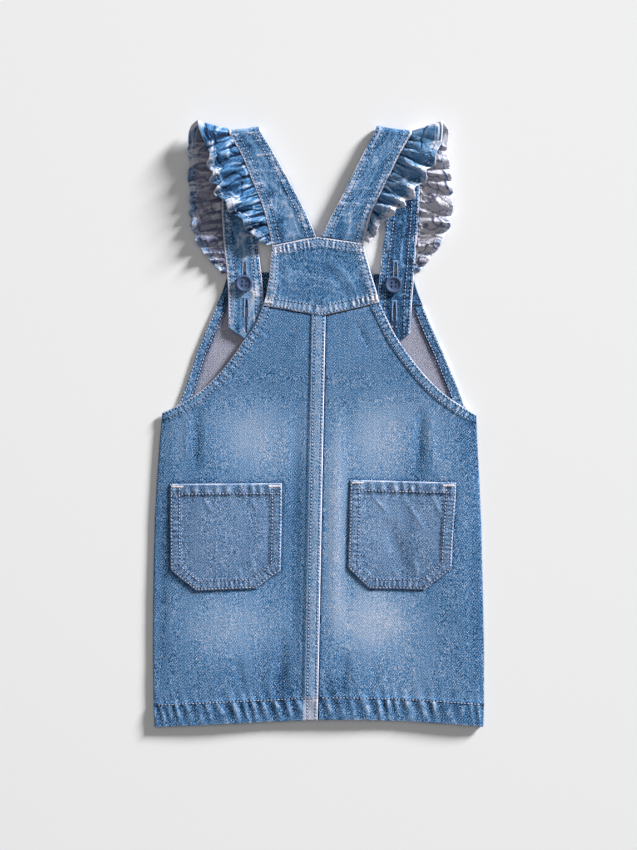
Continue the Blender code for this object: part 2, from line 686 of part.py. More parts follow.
def ruffle_waves(side, along, out):
    """A ruffle's waves at a point: their height, their lean along the edge, and how far
    the free edge bows out. They are uneven, and each gather at the seam is half a wave."""
    for stretch in RUFFLE_GATHERS:
        if along <= stretch.end:
            break
    place = (along - stretch.start) / (stretch.end - stretch.start)
    place = min(max(place, 0.0), 1.0)
    start = RUFFLE_SHIFT[side] + stretch.start

    def swing(beat):
        return beat.size * math.sin(beat.rate * place + beat.phase + beat.shift * start)

    turns = 2 * math.pi * stretch.waves * (place + sum(swing(beat) for beat in PLACE_BEATS))
    ends = math.sqrt(max(math.sin(math.pi * place), 0.0))
    at_edge = stretch.edge_height * (1.0 + swing(HEIGHT_BEAT)) * math.sin(turns)
    at_seam = stretch.seam_height * math.sin(2 * turns + GATHER_PHASE)
    rise = ease(out * RUFFLE_RISE)
    gather = ease(out / GATHER_IN) * (1.0 - ease((out - GATHER_HOLD) / GATHER_OUT))
    height = ends * (at_edge * rise + at_seam * gather)
    lean = ends * stretch.lean * rise * math.cos(turns)
    bow = ends * RUFFLE_LOBES * math.sin(turns + RUFFLE_LOBE_PHASE) * ease(out)
    return height, lean, bow


def build_ruffles():
    material = cloth_material("denim_ruffle", DENIM_BLUE)
    first, last = RUFFLE_EDGES["left"][0].along, RUFFLE_EDGES["left"][-1].along
    stations = [last]
    for low, high, steps in zip((first, 1.0, 2.0), (1.0, 2.0, last), RUFFLE_STEPS):
        stations[-1:] = [lerp(low, high, k / steps) for k in range(steps + 1)]
    near_along, near_out = 0.01, 0.05
    for side in ("left", "right"):
        turn = 1.0 if side == "right" else -1.0

        def layer(column, row, shift, side=side, turn=turn):
            along, out = stations[row], RUFFLE_LANES[column]
            height, lean, bow = ruffle_waves(side, along, out)
            run = (ruffle_base(side, along + near_along, out)
                   - ruffle_base(side, along - near_along, out))
            away = (ruffle_base(side, along, out + near_out)
                    - ruffle_base(side, along, out - near_out))
            way = run.cross(away).normalized() * turn
            point = ruffle_base(side, along, out * (1.0 + bow))
            point += way * (height + shift) + run.normalized() * lean
            point.z = max(point.z, RUFFLE_WALL * (shift > 0))
            return point

        def inner(column, row, layer=layer):
            return layer(column, row, -RUFFLE_WALL / 2)

        def outer(column, row, layer=layer):
            return layer(column, row, RUFFLE_WALL / 2)

        wall(f"ruffle_{side}", len(RUFFLE_LANES) - 1, len(stations) - 1, inner, outer, material)


def build_pockets():
    material = cloth_material("denim_pocket", DENIM_BLUE)
    inset = (0.0, POCKET_BAND, POCKET_BAND + STEP)
    middle = 5
    columns = 2 * (len(inset) - 1) + middle
    for side, rows in POCKETS.items():
        centre_x = (rows[-1].left_x + rows[-1].right_x) / 2
        centre_y = (rows[0].left_y + rows[-1].left_y) / 2

        def plan(column, row, rows=rows):
            line = rows[row]
            width = line.right_x - line.left_x
            places = [*inset, *spread(inset[-1], width - inset[-1], middle)]
            places += [width - offset for offset in reversed(inset)]
            share = places[column] / width
            return line.left_x + places[column], lerp(line.left_y, line.right_y, share)

        def floor(x, y, centre_x=centre_x, centre_y=centre_y):
            off_x = min(abs(x - centre_x) / POCKET_REACH, 1.0)
            off_y = min(abs(y - centre_y) / POCKET_REACH, 1.0)
            puff = POCKET_PUFF * (1.0 - off_x ** 2) * (1.0 - off_y ** 2)
            return back_floor(x, y) + CLOTH + SEAM_GAP + puff

        def thickness(column, row, rows=rows):
            at_side = column <= 1 or column >= columns - 1
            at_end = row <= 1 or row >= len(rows) - 2
            return CLOTH + POCKET_TURNING * (at_side or at_end)

        panel(f"pocket_{side}", plan, floor, thickness, columns, len(rows) - 1, material)


def build_button(side, material):
    """A round button with a raised rim and four holes."""
    place = BUTTONS[side]
    bottom = STRAP_ON_BIB + STRAP_WALL + SEAM_GAP
    radius = BUTTON_WIDTH / 2
    inside = radius - BUTTON_RIM
    profile = (
        (0.0, 0.0),
        (inside, 0.0),
        (radius, BUTTON_SIDE),
        (radius, 2 * BUTTON_SIDE),
        (radius - BUTTON_ROUND, BUTTON_THICK),
        (inside, BUTTON_THICK),
        (inside - BUTTON_SIDE, BUTTON_THICK - BUTTON_DISH),
        (0.0, BUTTON_THICK - BUTTON_DISH),
    )
    shape = bmesh.new()
    points = [shape.verts.new((r * MM, 0.0, z * MM)) for r, z in profile]
    edges = [shape.edges.new(pair) for pair in zip(points, points[1:])]
    bmesh.ops.spin(shape, geom=points + edges, cent=(0, 0, 0), axis=(0, 0, 1),
                   angle=2 * math.pi, steps=24, use_merge=True)
    bmesh.ops.remove_doubles(shape, verts=shape.verts[:], dist=0.00001)
    button = finish(f"button_{side}", shape, material)
    button.location = Vector((place.x, place.y, bottom)) * MM
    for sign_x in (-1, 1):
        for sign_y in (-1, 1):
            hole = bmesh.new()
            bmesh.ops.create_cone(hole, cap_ends=True, segments=10, radius1=BUTTON_HOLE / 2 * MM,
                                  radius2=BUTTON_HOLE / 2 * MM, depth=BUTTON_THICK * 3 * MM)
            drill = finish(f"drill_{side}_{sign_x}_{sign_y}", hole, material)
            offset = Vector((sign_x, sign_y, 0.0)) * BUTTON_HOLE_PITCH / 2
            drill.location = button.location + offset * MM
            drill.display_type = "WIRE"
            drill.hide_render = True
            cut = button.modifiers.new("hole", "BOOLEAN")
            cut.operation = "DIFFERENCE"
            cut.object = drill


def main():
    clear_scene()
    build_front()
    build_back()
    build_back_yoke()
    build_straps()
    build_ruffles()
    build_pockets()
    material = cloth_material("button_plastic", BUTTON_NAVY, 0.4)
    for side in ("left", "right"):
        build_button(side, material)


main()
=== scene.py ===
"""The looks of a small child's denim bib pinafore, laid flat with its back up.

Sizes are in millimetres until a mesh is made. The hem is towards -Y, the shoulders are
towards +Y, and the front lies face down on the surface at Z = 0.
"""
import math
from collections import namedtuple

import bmesh
import bpy
import numpy as np
from bpy.props import FloatProperty, FloatVectorProperty, PointerProperty
from mathutils import Matrix, Vector, noise
from mathutils.bvhtree import BVHTree


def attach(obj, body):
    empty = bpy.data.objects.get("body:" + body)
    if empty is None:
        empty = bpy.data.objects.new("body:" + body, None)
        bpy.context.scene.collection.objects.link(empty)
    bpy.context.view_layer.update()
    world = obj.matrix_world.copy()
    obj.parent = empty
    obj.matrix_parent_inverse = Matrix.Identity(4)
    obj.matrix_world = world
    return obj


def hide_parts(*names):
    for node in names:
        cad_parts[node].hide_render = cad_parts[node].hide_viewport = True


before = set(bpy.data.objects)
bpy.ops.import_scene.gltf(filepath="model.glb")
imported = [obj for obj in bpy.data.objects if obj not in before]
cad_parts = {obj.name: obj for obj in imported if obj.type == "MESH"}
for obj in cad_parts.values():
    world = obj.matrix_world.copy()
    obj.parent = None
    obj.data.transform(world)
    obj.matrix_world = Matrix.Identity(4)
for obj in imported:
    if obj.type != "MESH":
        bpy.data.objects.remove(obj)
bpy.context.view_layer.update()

bl_info = {
    "name": "Denim pinafore",
    "version": (1, 0, 0),
    "blender": (4, 5, 0),
    "location": "3D Viewport > Sidebar > Pinafore",
    "description": "Dresses the frame of a child's denim bib pinafore",
    "category": "Object",
}

MM = 0.001

# Cloth
CLOTH = 1.2                 # one layer of denim
YOKE_WALL = 2.2             # the yokes are two layers
EDGE_ROUND = 0.9            # radius of a folded edge
EDGE_PLACES = (0.0, 0.25, 0.6, 1.1)      # rows of the mesh across that radius
STEP = 1.3                  # run of the slope beside a band
TURNED_STEP = 0.8           # run over which the colour changes at a turned-in edge
PRESSED = 0.75              # how far a sewn-down edge presses into the cloth below
GROOVE = 0.7                # half width of the groove that a row of stitches draws in
GROOVE_DEPTH = 0.22
CREASE_CLEAR = 6.0          # creases die out over this distance from an edge
SMOOTHING = 14              # passes that take the facets out of a height read from a solid
MERGE = 0.00001             # corners closer than this, in metres, are one
INSIDE_SOLID = 0.003        # a height within the solids, in metres

# Sewing
STITCH_PITCH = 3.0
STITCH_GAP = 0.13           # share of the pitch that a stitch leaves free at each end
BEAD_HEIGHT = 0.8           # of a stitch, as a share of its width
BEAD_LIFT = 0.35            # share of a stitch's radius by which it stands off the cloth
UNDERSIDE_GAP = 0.15        # how far a flat stitch may reach below the surface's plane
TACK_PITCH = 0.62
TACK_WIDTH = 2.1
TACK_LENGTH = 10.0
HOLE_TACK = 2.2             # half length of the tack at each end of a buttonhole
HOLE_TACK_GAP = 0.8         # how far that tack lies past the buttonhole
HOLE_STITCH = (0.15, 1.5)   # where the stitches round a buttonhole start and end

# Tones of the cloth, from 0, unworn, over 0.3, washed, and 0.6, faded, to 1, white
WASHED = 0.30
EDGE_WEAR = 0.70
# painted shade in the groove of a row of stitches
GROOVE_PAINTED_SHADE = -0.26
# painted shadow just beside a band's inner edge
BESIDE_BAND_PAINTED_SHADOW = -0.08
# painted shadow round the pockets and the yoke, on the back panels
BESIDE_PATCH_PAINTED_SHADOW = -0.34
POCKET_GREY = 0.14          # how far the pockets' cloth has greyed
PUCKER_WEAR = 0.38
PUCKER_SHADE = 0.24
PATCH_TONE = 0.16           # of the uneven patches on a band
# along a crease: painted shade in a trough, paler on a ridge
CREASE_SHADE_AND_RIDGE_TONE = 0.5
# painted shade on the front's inside beside its armhole bands
BESIDE_ARMHOLE_PAINTED_SHADE = -0.55
# painted shade on the bib's inside, seen beside the straps; the next value spares its outer side
FRONT_YOKE_PAINTED_SHADE = -0.42
FRONT_YOKE_PALER = 0.36     # how much paler the bib's outer side is
FADE_POWER = 1.3            # over 1, a fade is flatter in its middle than a bell

# Puckers
PUCKER_WANDER = 0.70        # how far they stray, as a share of their spacing
PUCKER_CREST = 1.9          # powers that make the crests narrow and the troughs wide
PUCKER_TROUGH = 1.2
PUCKER_BEYOND = 0.55        # share of their height just past the last row
PATCH_SIZE = 4.5

# The corners of each panel: each is the point of the solid's outline nearest to it
Corners = namedtuple("Corners", "low_left low_right high_right high_left")
PANEL_CORNERS = {
    "front_skirt": Corners((-143, -265), (144, -265), (92, 104), (-90, 104)),
    "front_yoke": Corners((-90, 104), (92, 104), (82, 132), (-79, 134)),
    "back_left": Corners((-144, -266), (-1, -259), (6, 95), (-49, 104)),
    "back_right": Corners((0, -259), (145, -266), (53, 107), (6.5, 95)),
    "back_yoke": Corners((-49, 104), (53, 107), (39, 159), (-41, 157)),
    "pocket_left": Corners((-108, -146), (-55, -144), (-32, -52), (-130, -52)),
    "pocket_right": Corners((45, -144), (93, -145), (121, -51), (28, -49)),
}
SIDE_CORNERS = {"left": (-137.2, 10.5), "right": (138.6, 8.3)}      # foot of each armhole
FRONT_SIDE_CORNERS = {"left": (-138.0, 0.0), "right": (138.5, 0.0)}

# A stitched band along an edge: its width, how far it stands up, its rows of stitches from
# the edge, how worn it is, and its puckers: their height, spacing, lean for each millimetre
# in, and how far they reach past the last row
Band = namedtuple("Band", "width rise rows wear pucker spacing lean reach")
HEM = Band(20.5, 1.0, (19.4,), -0.11, 0.62, 9.6, 0.26, 9.0)
ARMHOLE = Band(8.0, 0.6, (1.4, 6.9), 0.08, 0.30, 5.2, 0.0, 7.0)
FELL = Band(12.0, 0.9, (1.9, 9.6), 0.23, 0.010, 4.6, 0.0, 1.5)
YOKE_TOP = Band(8.4, 0.5, (1.3, 4.5, 7.5), 0.36, 0.44, 4.2, 0.0, 4.0)
YOKE_LOW = Band(8.8, 0.5, (1.3, 7.8), 0.28, 0.46, 4.6, 0.0, 5.0)
YOKE_SIDE = Band(7.0, 0.5, (1.6, 6.1), 0.34, 0.20, 5.6, 0.0, 3.0)
POCKET_TOP = Band(9.8, 0.8, (9.0,), 0.02, 0.40, 8.6, -0.10, 6.0)
POCKET_SIDE = Band(9.0, 0.7, (1.2, 8.2), 0.0, 0.22, 4.6, 0.0, 6.0)
STRAP_SIDE = Band(7.6, 0.5, (1.9, 6.8), 0.10, 0.20, 5.4, 0.0, 3.0)
RUFFLE_HEM = Band(6.4, 0.6, (5.6,), 0.30, 0.16, 5.2, 0.0, 3.0)
FRONT_HEM = Band(20.5, 1.0, (19.4,), -0.06, 0.24, 9.4, -0.26, 6.0)
FRONT_ARMHOLE = Band(8.8, 1.0, (1.4, 7.6), 0.04, 0.20, 4.9, 0.0, 5.0)

# Areas that washing has faded and, where the strength is under 0, darker areas: mostly
# painted shade in creases and troughs, along the sides and by the armholes
Fade = namedtuple("Fade", "x y wide tall strength")
BACK_FADES_AND_SHADE = (
    Fade(-52.0, -12.0, 34.0, 36.0, 0.32),
    Fade(-84.0, 2.0, 26.0, 22.0, 0.06),
    Fade(-14.0, 0.0, 10.0, 40.0, 0.10),
    Fade(-80.0, -176.0, 42.0, 30.0, 0.26),
    Fade(-45.0, -165.0, 22.0, 34.0, 0.05),
    Fade(-40.0, -225.0, 14.0, 30.0, -0.09),
    Fade(-124.0, -20.0, 9.0, 24.0, 0.10),
    Fade(54.0, -10.0, 31.0, 40.0, 0.32),
    Fade(98.0, 12.0, 14.0, 26.0, 0.08),
    Fade(15.0, -84.0, 11.0, 92.0, 0.30),
    Fade(50.0, -172.0, 36.0, 34.0, 0.40),
    Fade(112.0, -30.0, 13.0, 40.0, 0.12),
    Fade(100.0, -200.0, 26.0, 30.0, 0.08),
    Fade(74.0, -232.0, 26.0, 30.0, 0.10),
    Fade(30.0, 70.0, 26.0, 30.0, 0.05),
    # darker areas from here on, mostly painted shade in troughs, creases and folds and along the
    # sides, which round away
    Fade(-19.0, -100.0, 8.0, 90.0, -0.05),
    Fade(-31.0, -232.0, 9.0, 20.0, -0.20),
    Fade(14.0, -236.0, 12.0, 14.0, -0.14),
    Fade(89.0, -32.0, 6.0, 32.0, -0.15),
    Fade(-107.0, -14.0, 6.0, 26.0, -0.12),
    Fade(-143.0, -120.0, 8.0, 150.0, -0.04),
    Fade(141.0, -130.0, 9.0, 140.0, -0.09),
    Fade(136.0, -14.0, 14.0, 34.0, -0.16),
    Fade(0.0, 60.0, 60.0, 60.0, -0.04),
    Fade(126.0, -190.0, 24.0, 60.0, -0.04),
)
YOKE_FADES = (
    Fade(-22.0, 128.0, 16.0, 14.0, 0.08),
    Fade(20.0, 124.0, 18.0, 16.0, 0.06),
    Fade(0.0, 134.0, 14.0, 10.0, -0.05),
)
POCKET_FADES = {
    "left": (Fade(-86.0, -96.0, 36.0, 36.0, 0.11), Fade(-60.0, -84.0, 5.0, 30.0, -0.07)),
    "right": (Fade(58.0, -90.0, 28.0, 36.0, 0.15), Fade(96.0, -100.0, 16.0, 36.0, 0.06),
              Fade(80.0, -100.0, 5.0, 34.0, -0.12)),
}
# painted shade on the front's inside, by the armholes
FRONT_PAINTED_SHADE = (
    Fade(93.0, 84.0, 7.0, 18.0, -0.16),
    Fade(101.0, 62.0, 7.0, 18.0, -0.20),
    Fade(110.0, 38.0, 7.0, 18.0, -0.14),
    Fade(-100.0, 50.0, 9.0, 24.0, -0.12),
)

# Soft creases and ridges, as lines in the plan with a width and a height
Crease = namedtuple("Crease", "x y end_x end_y wide height")
FRONT_CREASES = (
    Crease(-58.0, 24.0, -70.0, -96.0, 5.0, -0.7),
    Crease(62.0, 30.0, 78.0, -118.0, 6.0, -0.8),
    Crease(-18.0, -132.0, -26.0, -238.0, 4.0, -0.7),
    Crease(38.0, -160.0, 46.0, -240.0, 5.0, -0.6),
    Crease(-96.0, -176.0, -101.0, -238.0, 4.0, -0.6),
    Crease(108.0, -150.0, 116.0, -232.0, 4.0, -0.5),
    Crease(6.0, 92.0, 14.0, 34.0, 4.0, -0.5),
    Crease(-44.0, 88.0, -36.0, 60.0, 3.0, -0.4),
)
BACK_CREASES = (
    Crease(-19.0, 40.0, -22.0, -235.0, 5.0, -0.7),
    Crease(-31.0, -180.0, -33.0, -243.0, 4.5, -0.9),
    Crease(-42.0, -205.0, -43.0, -243.0, 4.0, 0.5),
    Crease(-106.0, 14.0, -108.0, -44.0, 4.0, -0.8),
    Crease(-113.0, 8.0, -117.0, -30.0, 3.5, 0.5),
    Crease(90.0, 16.0, 88.0, -48.0, 4.0, -0.9),
    Crease(98.0, 14.0, 101.0, -40.0, 4.0, 0.5),
    Crease(16.0, 30.0, 14.0, -200.0, 6.0, 0.6),
    Crease(24.0, -200.0, 21.0, -243.0, 4.0, -0.8),
    Crease(50.0, -208.0, 46.0, -243.0, 4.0, -0.5),
    Crease(-72.0, -205.0, -66.0, -240.0, 4.0, -0.5),
    Crease(-136.0, -60.0, -139.0, -240.0, 5.0, -0.5),
    Crease(134.0, -60.0, 137.0, -240.0, 5.0, -0.5),
    Crease(-20.0, 88.0, -30.0, 62.0, 3.0, -0.35),
    Crease(32.0, 92.0, 46.0, 62.0, 3.0, -0.35),
)
YOKE_CREASES = (
    Crease(8.0, 150.0, 34.0, 116.0, 2.6, 0.40),
    Crease(0.0, 148.0, 26.0, 112.0, 2.4, -0.35),
    Crease(-30.0, 146.0, -24.0, 120.0, 2.6, 0.35),
    Crease(-12.0, 150.0, -14.0, 128.0, 2.4, -0.3),
    Crease(-20.0, 112.0, 18.0, 108.0, 3.0, 0.3),
)
POCKET_CREASES = {
    "left": (
        Crease(-102.0, -63.0, -93.0, -77.0, 1.7, 0.45),
        Crease(-62.0, -63.0, -52.0, -77.0, 1.7, 0.45),
        Crease(-72.0, -124.0, -66.0, -136.0, 1.6, 0.45),
        Crease(-60.0, -112.0, -56.0, -132.0, 1.8, 0.45),
        Crease(-48.0, -72.0, -50.0, -118.0, 4.0, 0.35),
    ),
    "right": (
        Crease(46.0, -61.0, 61.0, -78.0, 1.7, 0.5),
        Crease(73.0, -61.0, 95.0, -96.0, 1.9, 0.5),
        Crease(99.0, -61.0, 110.0, -84.0, 1.7, 0.5),
        Crease(110.0, -82.0, 109.0, -106.0, 1.7, 0.4),
        Crease(60.0, -84.0, 76.0, -130.0, 6.0, -0.9),
        Crease(84.0, -118.0, 88.0, -136.0, 1.7, 0.45),
        Crease(66.0, -126.0, 70.0, -138.0, 1.6, 0.4),
    ),
}

# Straps and ruffles, on the same lines as the solids
STRAP_WALL = 2.2
STRAP_ON_BIB = 2.5          # height of a strap's underside on the bib
FOLD_RADIUS = 3.0           # of the strap's middle where it turns over at the shoulder
STRAP_POINT = 11.4          # length of the pointed strap end
FLOOR_Z = STRAP_WALL / 2    # the middle of a strap that lies on the surface
BIB_Z = STRAP_ON_BIB + STRAP_WALL / 2
RUFFLE_WALL = 1.1
SEAM_GAP = 0.3
BUTTON_WIDTH = 15.0
BUTTON_THICK = 3.0
BUTTON_RIM = 1.6
BUTTON_ROUND = 0.8          # radius of its rim's edge
BUTTON_SIDE = 1.0
BUTTON_DISH = 0.9
BUTTON_HOLE = 1.9
BUTTON_HOLE_PITCH = 3.6
STRANDS_APART = 0.4         # of the two strands of thread between a pair of its holes
BUTTONHOLE_LENGTH = 21.0
BUTTONHOLE_GAP = 1.2
BUTTONHOLE_GAPE = 0.5

# A strap's two edges from the yoke up to the shoulder, then from the shoulder down
# to its end; z is the height of the strap's middle
StrapRow = namedtuple("StrapRow", "outer_x outer_y inner_x inner_y z")
STRAPS = {
    "left": {
        "back": (
            StrapRow(-40.9, 157.5, -2.2, 164.8, 6.4),
            StrapRow(-43.8, 171.5, -8.2, 179.0, 6.7),
            StrapRow(-49.5, 192.5, -17.6, 198.5, 7.0),
            StrapRow(-57.9, 212.8, -27.4, 216.8, 7.1),
            StrapRow(-67.1, 235.5, -40.4, 240.3, 7.1),
        ),
        "fold": StrapRow(-78.5, 258.6, -52.0, 261.6, 0.0),
        "front": (
            StrapRow(-83.8, 228.0, -55.4, 230.0, FLOOR_Z),
            StrapRow(-85.0, 205.0, -56.2, 205.0, FLOOR_Z),
            StrapRow(-84.6, 180.0, -55.0, 180.0, FLOOR_Z),
            StrapRow(-83.0, 156.0, -53.0, 156.0, 1.7),
            StrapRow(-80.9, 138.0, -50.8, 138.0, BIB_Z),
            StrapRow(-79.4, 116.0, -48.6, 116.0, BIB_Z),
            StrapRow(-79.1, 85.0, -48.3, 85.0, BIB_Z),
        ),
    },
    "right": {
        "back": (
            StrapRow(39.6, 159.1, 1.8, 164.9, 6.4),
            StrapRow(46.2, 184.2, 13.4, 187.4, 6.9),
            StrapRow(51.5, 196.0, 19.4, 198.6, 7.0),
            StrapRow(62.4, 218.7, 28.8, 217.6, 7.1),
            StrapRow(72.5, 238.9, 39.6, 238.6, 7.1),
        ),
        "fold": StrapRow(81.8, 257.8, 50.6, 262.3, 0.0),
        "front": (
            StrapRow(87.6, 228.0, 59.0, 230.0, FLOOR_Z),
            StrapRow(89.0, 208.0, 60.6, 208.0, FLOOR_Z),
            StrapRow(88.0, 180.0, 59.4, 180.0, FLOOR_Z),
            StrapRow(86.0, 156.0, 56.4, 156.0, 1.7),
            StrapRow(84.6, 138.0, 54.4, 138.0, BIB_Z),
            StrapRow(82.4, 112.0, 51.8, 112.0, BIB_Z),
            StrapRow(80.4, 80.0, 50.2, 80.0, BIB_Z),
        ),
    },
}

# A ruffle's free edge. along is the place on the strap's outer edge that the row is sewn to.
RuffleRow = namedtuple("RuffleRow", "along x y z")
RUFFLE_EDGES = {
    "left": (
        RuffleRow(0.03, -45.4, 157.2, 7.2),
        RuffleRow(0.14, -53.5, 161.8, 9.5),
        RuffleRow(0.26, -63.5, 172.0, 12.5),
        RuffleRow(0.38, -73.0, 183.8, 14.5),
        RuffleRow(0.52, -83.5, 192.5, 15.5),
        RuffleRow(0.66, -91.0, 208.0, 16.0),
        RuffleRow(0.80, -95.5, 224.0, 16.0),
        RuffleRow(0.92, -97.0, 240.0, 16.0),
        RuffleRow(1.15, -105.0, 259.0, 15.0),
        RuffleRow(1.50, -108.5, 265.4, 10.5),
        RuffleRow(1.85, -112.4, 257.0, 6.0),
        RuffleRow(2.06, -114.6, 243.0, 5.0),
        RuffleRow(2.16, -113.8, 224.0, 4.8),
        RuffleRow(2.28, -113.6, 202.0, 4.8),
        RuffleRow(2.40, -112.0, 180.0, 4.8),
        RuffleRow(2.52, -108.0, 161.5, 4.6),
        RuffleRow(2.64, -97.5, 146.0, 4.8),
        RuffleRow(2.745, -84.8, 132.4, 4.6),
    ),
    "right": (
        RuffleRow(0.03, 44.4, 159.4, 7.2),
        RuffleRow(0.14, 50.5, 167.5, 9.5),
        RuffleRow(0.26, 58.5, 179.0, 12.5),
        RuffleRow(0.38, 68.5, 186.5, 14.5),
        RuffleRow(0.52, 80.0, 197.0, 15.5),
        RuffleRow(0.66, 91.0, 212.5, 16.0),
        RuffleRow(0.80, 99.5, 227.0, 16.0),
        RuffleRow(0.92, 106.5, 242.0, 16.0),
        RuffleRow(1.15, 108.6, 260.0, 15.0),
        RuffleRow(1.50, 109.4, 265.6, 10.5),
        RuffleRow(1.85, 113.6, 256.0, 6.0),
        RuffleRow(2.06, 113.4, 241.0, 5.0),
        RuffleRow(2.16, 115.6, 222.0, 4.8),
        RuffleRow(2.28, 117.6, 201.0, 4.8),
        RuffleRow(2.40, 116.4, 180.0, 4.8),
        RuffleRow(2.52, 110.4, 164.0, 4.6),
        RuffleRow(2.64, 99.8, 148.0, 4.8),
        RuffleRow(2.745, 88.2, 133.6, 4.6),
    ),
}
# Gathers of a ruffle, a row for each stretch of it: how many waves its free edge has,
# their height there and close to the seam, how far they lean along the edge, and the
# share by which the free edge bows out and in with them
Gathers = namedtuple("Gathers", "start end waves edge_height seam_height lean lobes")
RUFFLE_GATHERS = (
    Gathers(0.0, 1.0, 7, 3.9, 1.0, 1.3, 0.09),
    Gathers(1.0, 2.0, 1, 0.6, 0.2, 0.0, 0.05),
    Gathers(2.0, 2.75, 8, 3.0, 1.0, 1.4, 0.035),
)
RUFFLE_LOBE_PHASE = 2.2                        # how far behind its waves the free edge bows
RUFFLE_SHIFT = {"left": 0.0, "right": 1.9}     # where the uneven waves of each ruffle start
SEEDS = {"left": 1.0, "right": 2.0}

# Tones of the straps and ruffles, on the back and on the front; all but the first are painted
# light and shade
STRAP_TONE = {"left": -0.07, "right": -0.04}
# painted shade on the front part of the right strap
FRONT_STRAP_PAINTED_SHADE = {"left": 0.0, "right": -0.42}
# painted shade on the left ruffle, which faces the light, and painted light on the right one
RUFFLE_PAINTED_LIGHT_AND_SHADE = {"left": -0.24, "right": 0.10}
# how strong the painted shade and highlights on the folds are; more on the left, where the light
# runs along the folds
RUFFLE_PAINTED_SHADING = {"left": 1.5, "right": 0.62}     # how strongly its folds mark its tone
# painted light on the right ruffle's front part
FRONT_RUFFLE_PAINTED_LIGHT = {"left": 0.02, "right": 0.76}
# painted shade in the front parts' fine wrinkles
FINE_WRINKLE_PAINTED_SHADE = {"left": 0.45, "right": 1.30}

# The fine gathers at a ruffle's seam, and its waves further out
GATHERS_APART = 9.0
GATHER_DEPTH = 2.6
RUFFLE_RISE = 1.3           # the waves have their full height at 1 / 1.3 of the way out
GATHER_PHASE = 0.9          # of the small gathers at the seam, two for each wave
GATHER_IN = 0.125           # the way out, as a share, over which they come in
GATHER_HOLD = 0.2           # how far out they keep their height
GATHER_OUT = 0.6            # the share over which they then die out

# Rough lengths up the back, round the fold and down the front, and a rough width. They set
# how many cells a strap's or ruffle's mesh has.
STRAP_LENGTHS = (104.0, 10.0, 184.0)
RUFFLE_LENGTHS = (150.0, 14.0, 170.0)
RUFFLE_WIDTH = 42.0
BACK_ROWS = 20              # rows that surely lie on the back and face up

# The beats in the places and in the heights of a ruffle's waves; shift counts RUFFLE_SHIFT
Beat = namedtuple("Beat", "size rate phase shift")
PLACE_BEATS = (Beat(0.040, 8.2, 0.0, 1.0), Beat(0.016, 19.0, 0.0, 2.0))
HEIGHT_BEAT = Beat(0.25, 14.0, 1.7, 1.0)

# The buttons' centres, and the middles of each strap's two buttonholes
Place = namedtuple("Place", "x y")
BUTTONS = {"left": Place(-65.2, 123.7), "right": Place(65.9, 122.7)}
BUTTONHOLES = {
    "left": (Place(-65.0, 132.0), Place(-63.4, 100.0)),
    "right": (Place(67.6, 132.0), Place(66.6, 97.0)),
}


def read_mm(sequence):
    return np.array([tuple(item) for item in sequence], float) / MM


def ease(share):
    """0 below 0, 1 above 1, and a smooth rise between."""
    share = np.clip(share, 0.0, 1.0)
    return share * share * (3.0 - 2.0 * share)


def bell(offset, wide):
    return np.exp(-(offset / wide) ** 2)


def uneven(along, seed):
    """A slow, irregular swing between about -1 and 1 along a line."""
    return (0.45 * np.sin(along / 29.0 + 1.7 * seed) + 0.35 * np.sin(along / 12.3 + 2.9 * seed)
            + 0.20 * np.sin(along / 5.7 + 4.3 * seed))


def ripples(points, size, seed):
    """Smooth noise between -1 and 1 at an array of places, with features of a size."""
    flat = points.reshape(-1, points.shape[-1])[:, :2] / size
    values = [noise.noise((x, y, seed * 7.3)) for x, y in flat]
    return np.array(values).reshape(points.shape[:-1])


# Reading the frame

def solid_mesh(node):
    """A merged copy of a node's mesh."""
    shape = bmesh.new()
    shape.from_mesh(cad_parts[node].data)
    bmesh.ops.remove_doubles(shape, verts=shape.verts[:], dist=MERGE)
    return shape


def outline(node):
    """The plan outline of a panel's upper side, in order, anticlockwise."""
    shape = solid_mesh(node)
    upper = {face for face in shape.faces if face.normal.z > 0.3}
    rim = [edge for edge in shape.edges if sum(face in upper for face in edge.link_faces) == 1]
    beside = {}
    for edge in rim:
        first, second = edge.verts
        beside.setdefault(first, []).append(second)
        beside.setdefault(second, []).append(first)
    start = max(beside, key=lambda vert: vert.co.y)
    loop, here, before = [start], beside[start][0], start
    while here is not start:
        loop.append(here)
        following = [vert for vert in beside[here] if vert is not before]
        here, before = following[0], here
    points = read_mm(vert.co for vert in loop)[:, :2]
    shape.free()
    following = np.roll(points, -1, axis=0)
    area = (points[:, 0] * following[:, 1] - points[:, 1] * following[:, 0]).sum()
    return points if area > 0 else points[::-1]


def undersides(tree, plan):
    """The height of a solid's underside at each place of a plan."""
    values = []
    for x, y in plan.reshape(-1, 2):
        hit = tree.ray_cast(Vector((x * MM, y * MM, -0.1)), Vector((0.0, 0.0, 1.0)))[0]
        if hit is None:
            hit = tree.find_nearest(Vector((x * MM, y * MM, INSIDE_SOLID)))[0]
        values.append(hit.z / MM)
    return np.array(values).reshape(plan.shape[:-1])


# Lines in the plan

def lengths(line):
    """How far along a line each of its points is."""
    return np.concatenate([[0.0], np.cumsum(np.linalg.norm(np.diff(line, axis=0), axis=1))])


def resample(line, places):
    """The points at these places along a line, given as shares of its length."""
    along = lengths(line)
    return np.stack([np.interp(places * along[-1], along, column) for column in line.T], axis=-1)


def nearest_index(line, place):
    return int(np.argmin(np.linalg.norm(line - np.array(place, float), axis=1)))


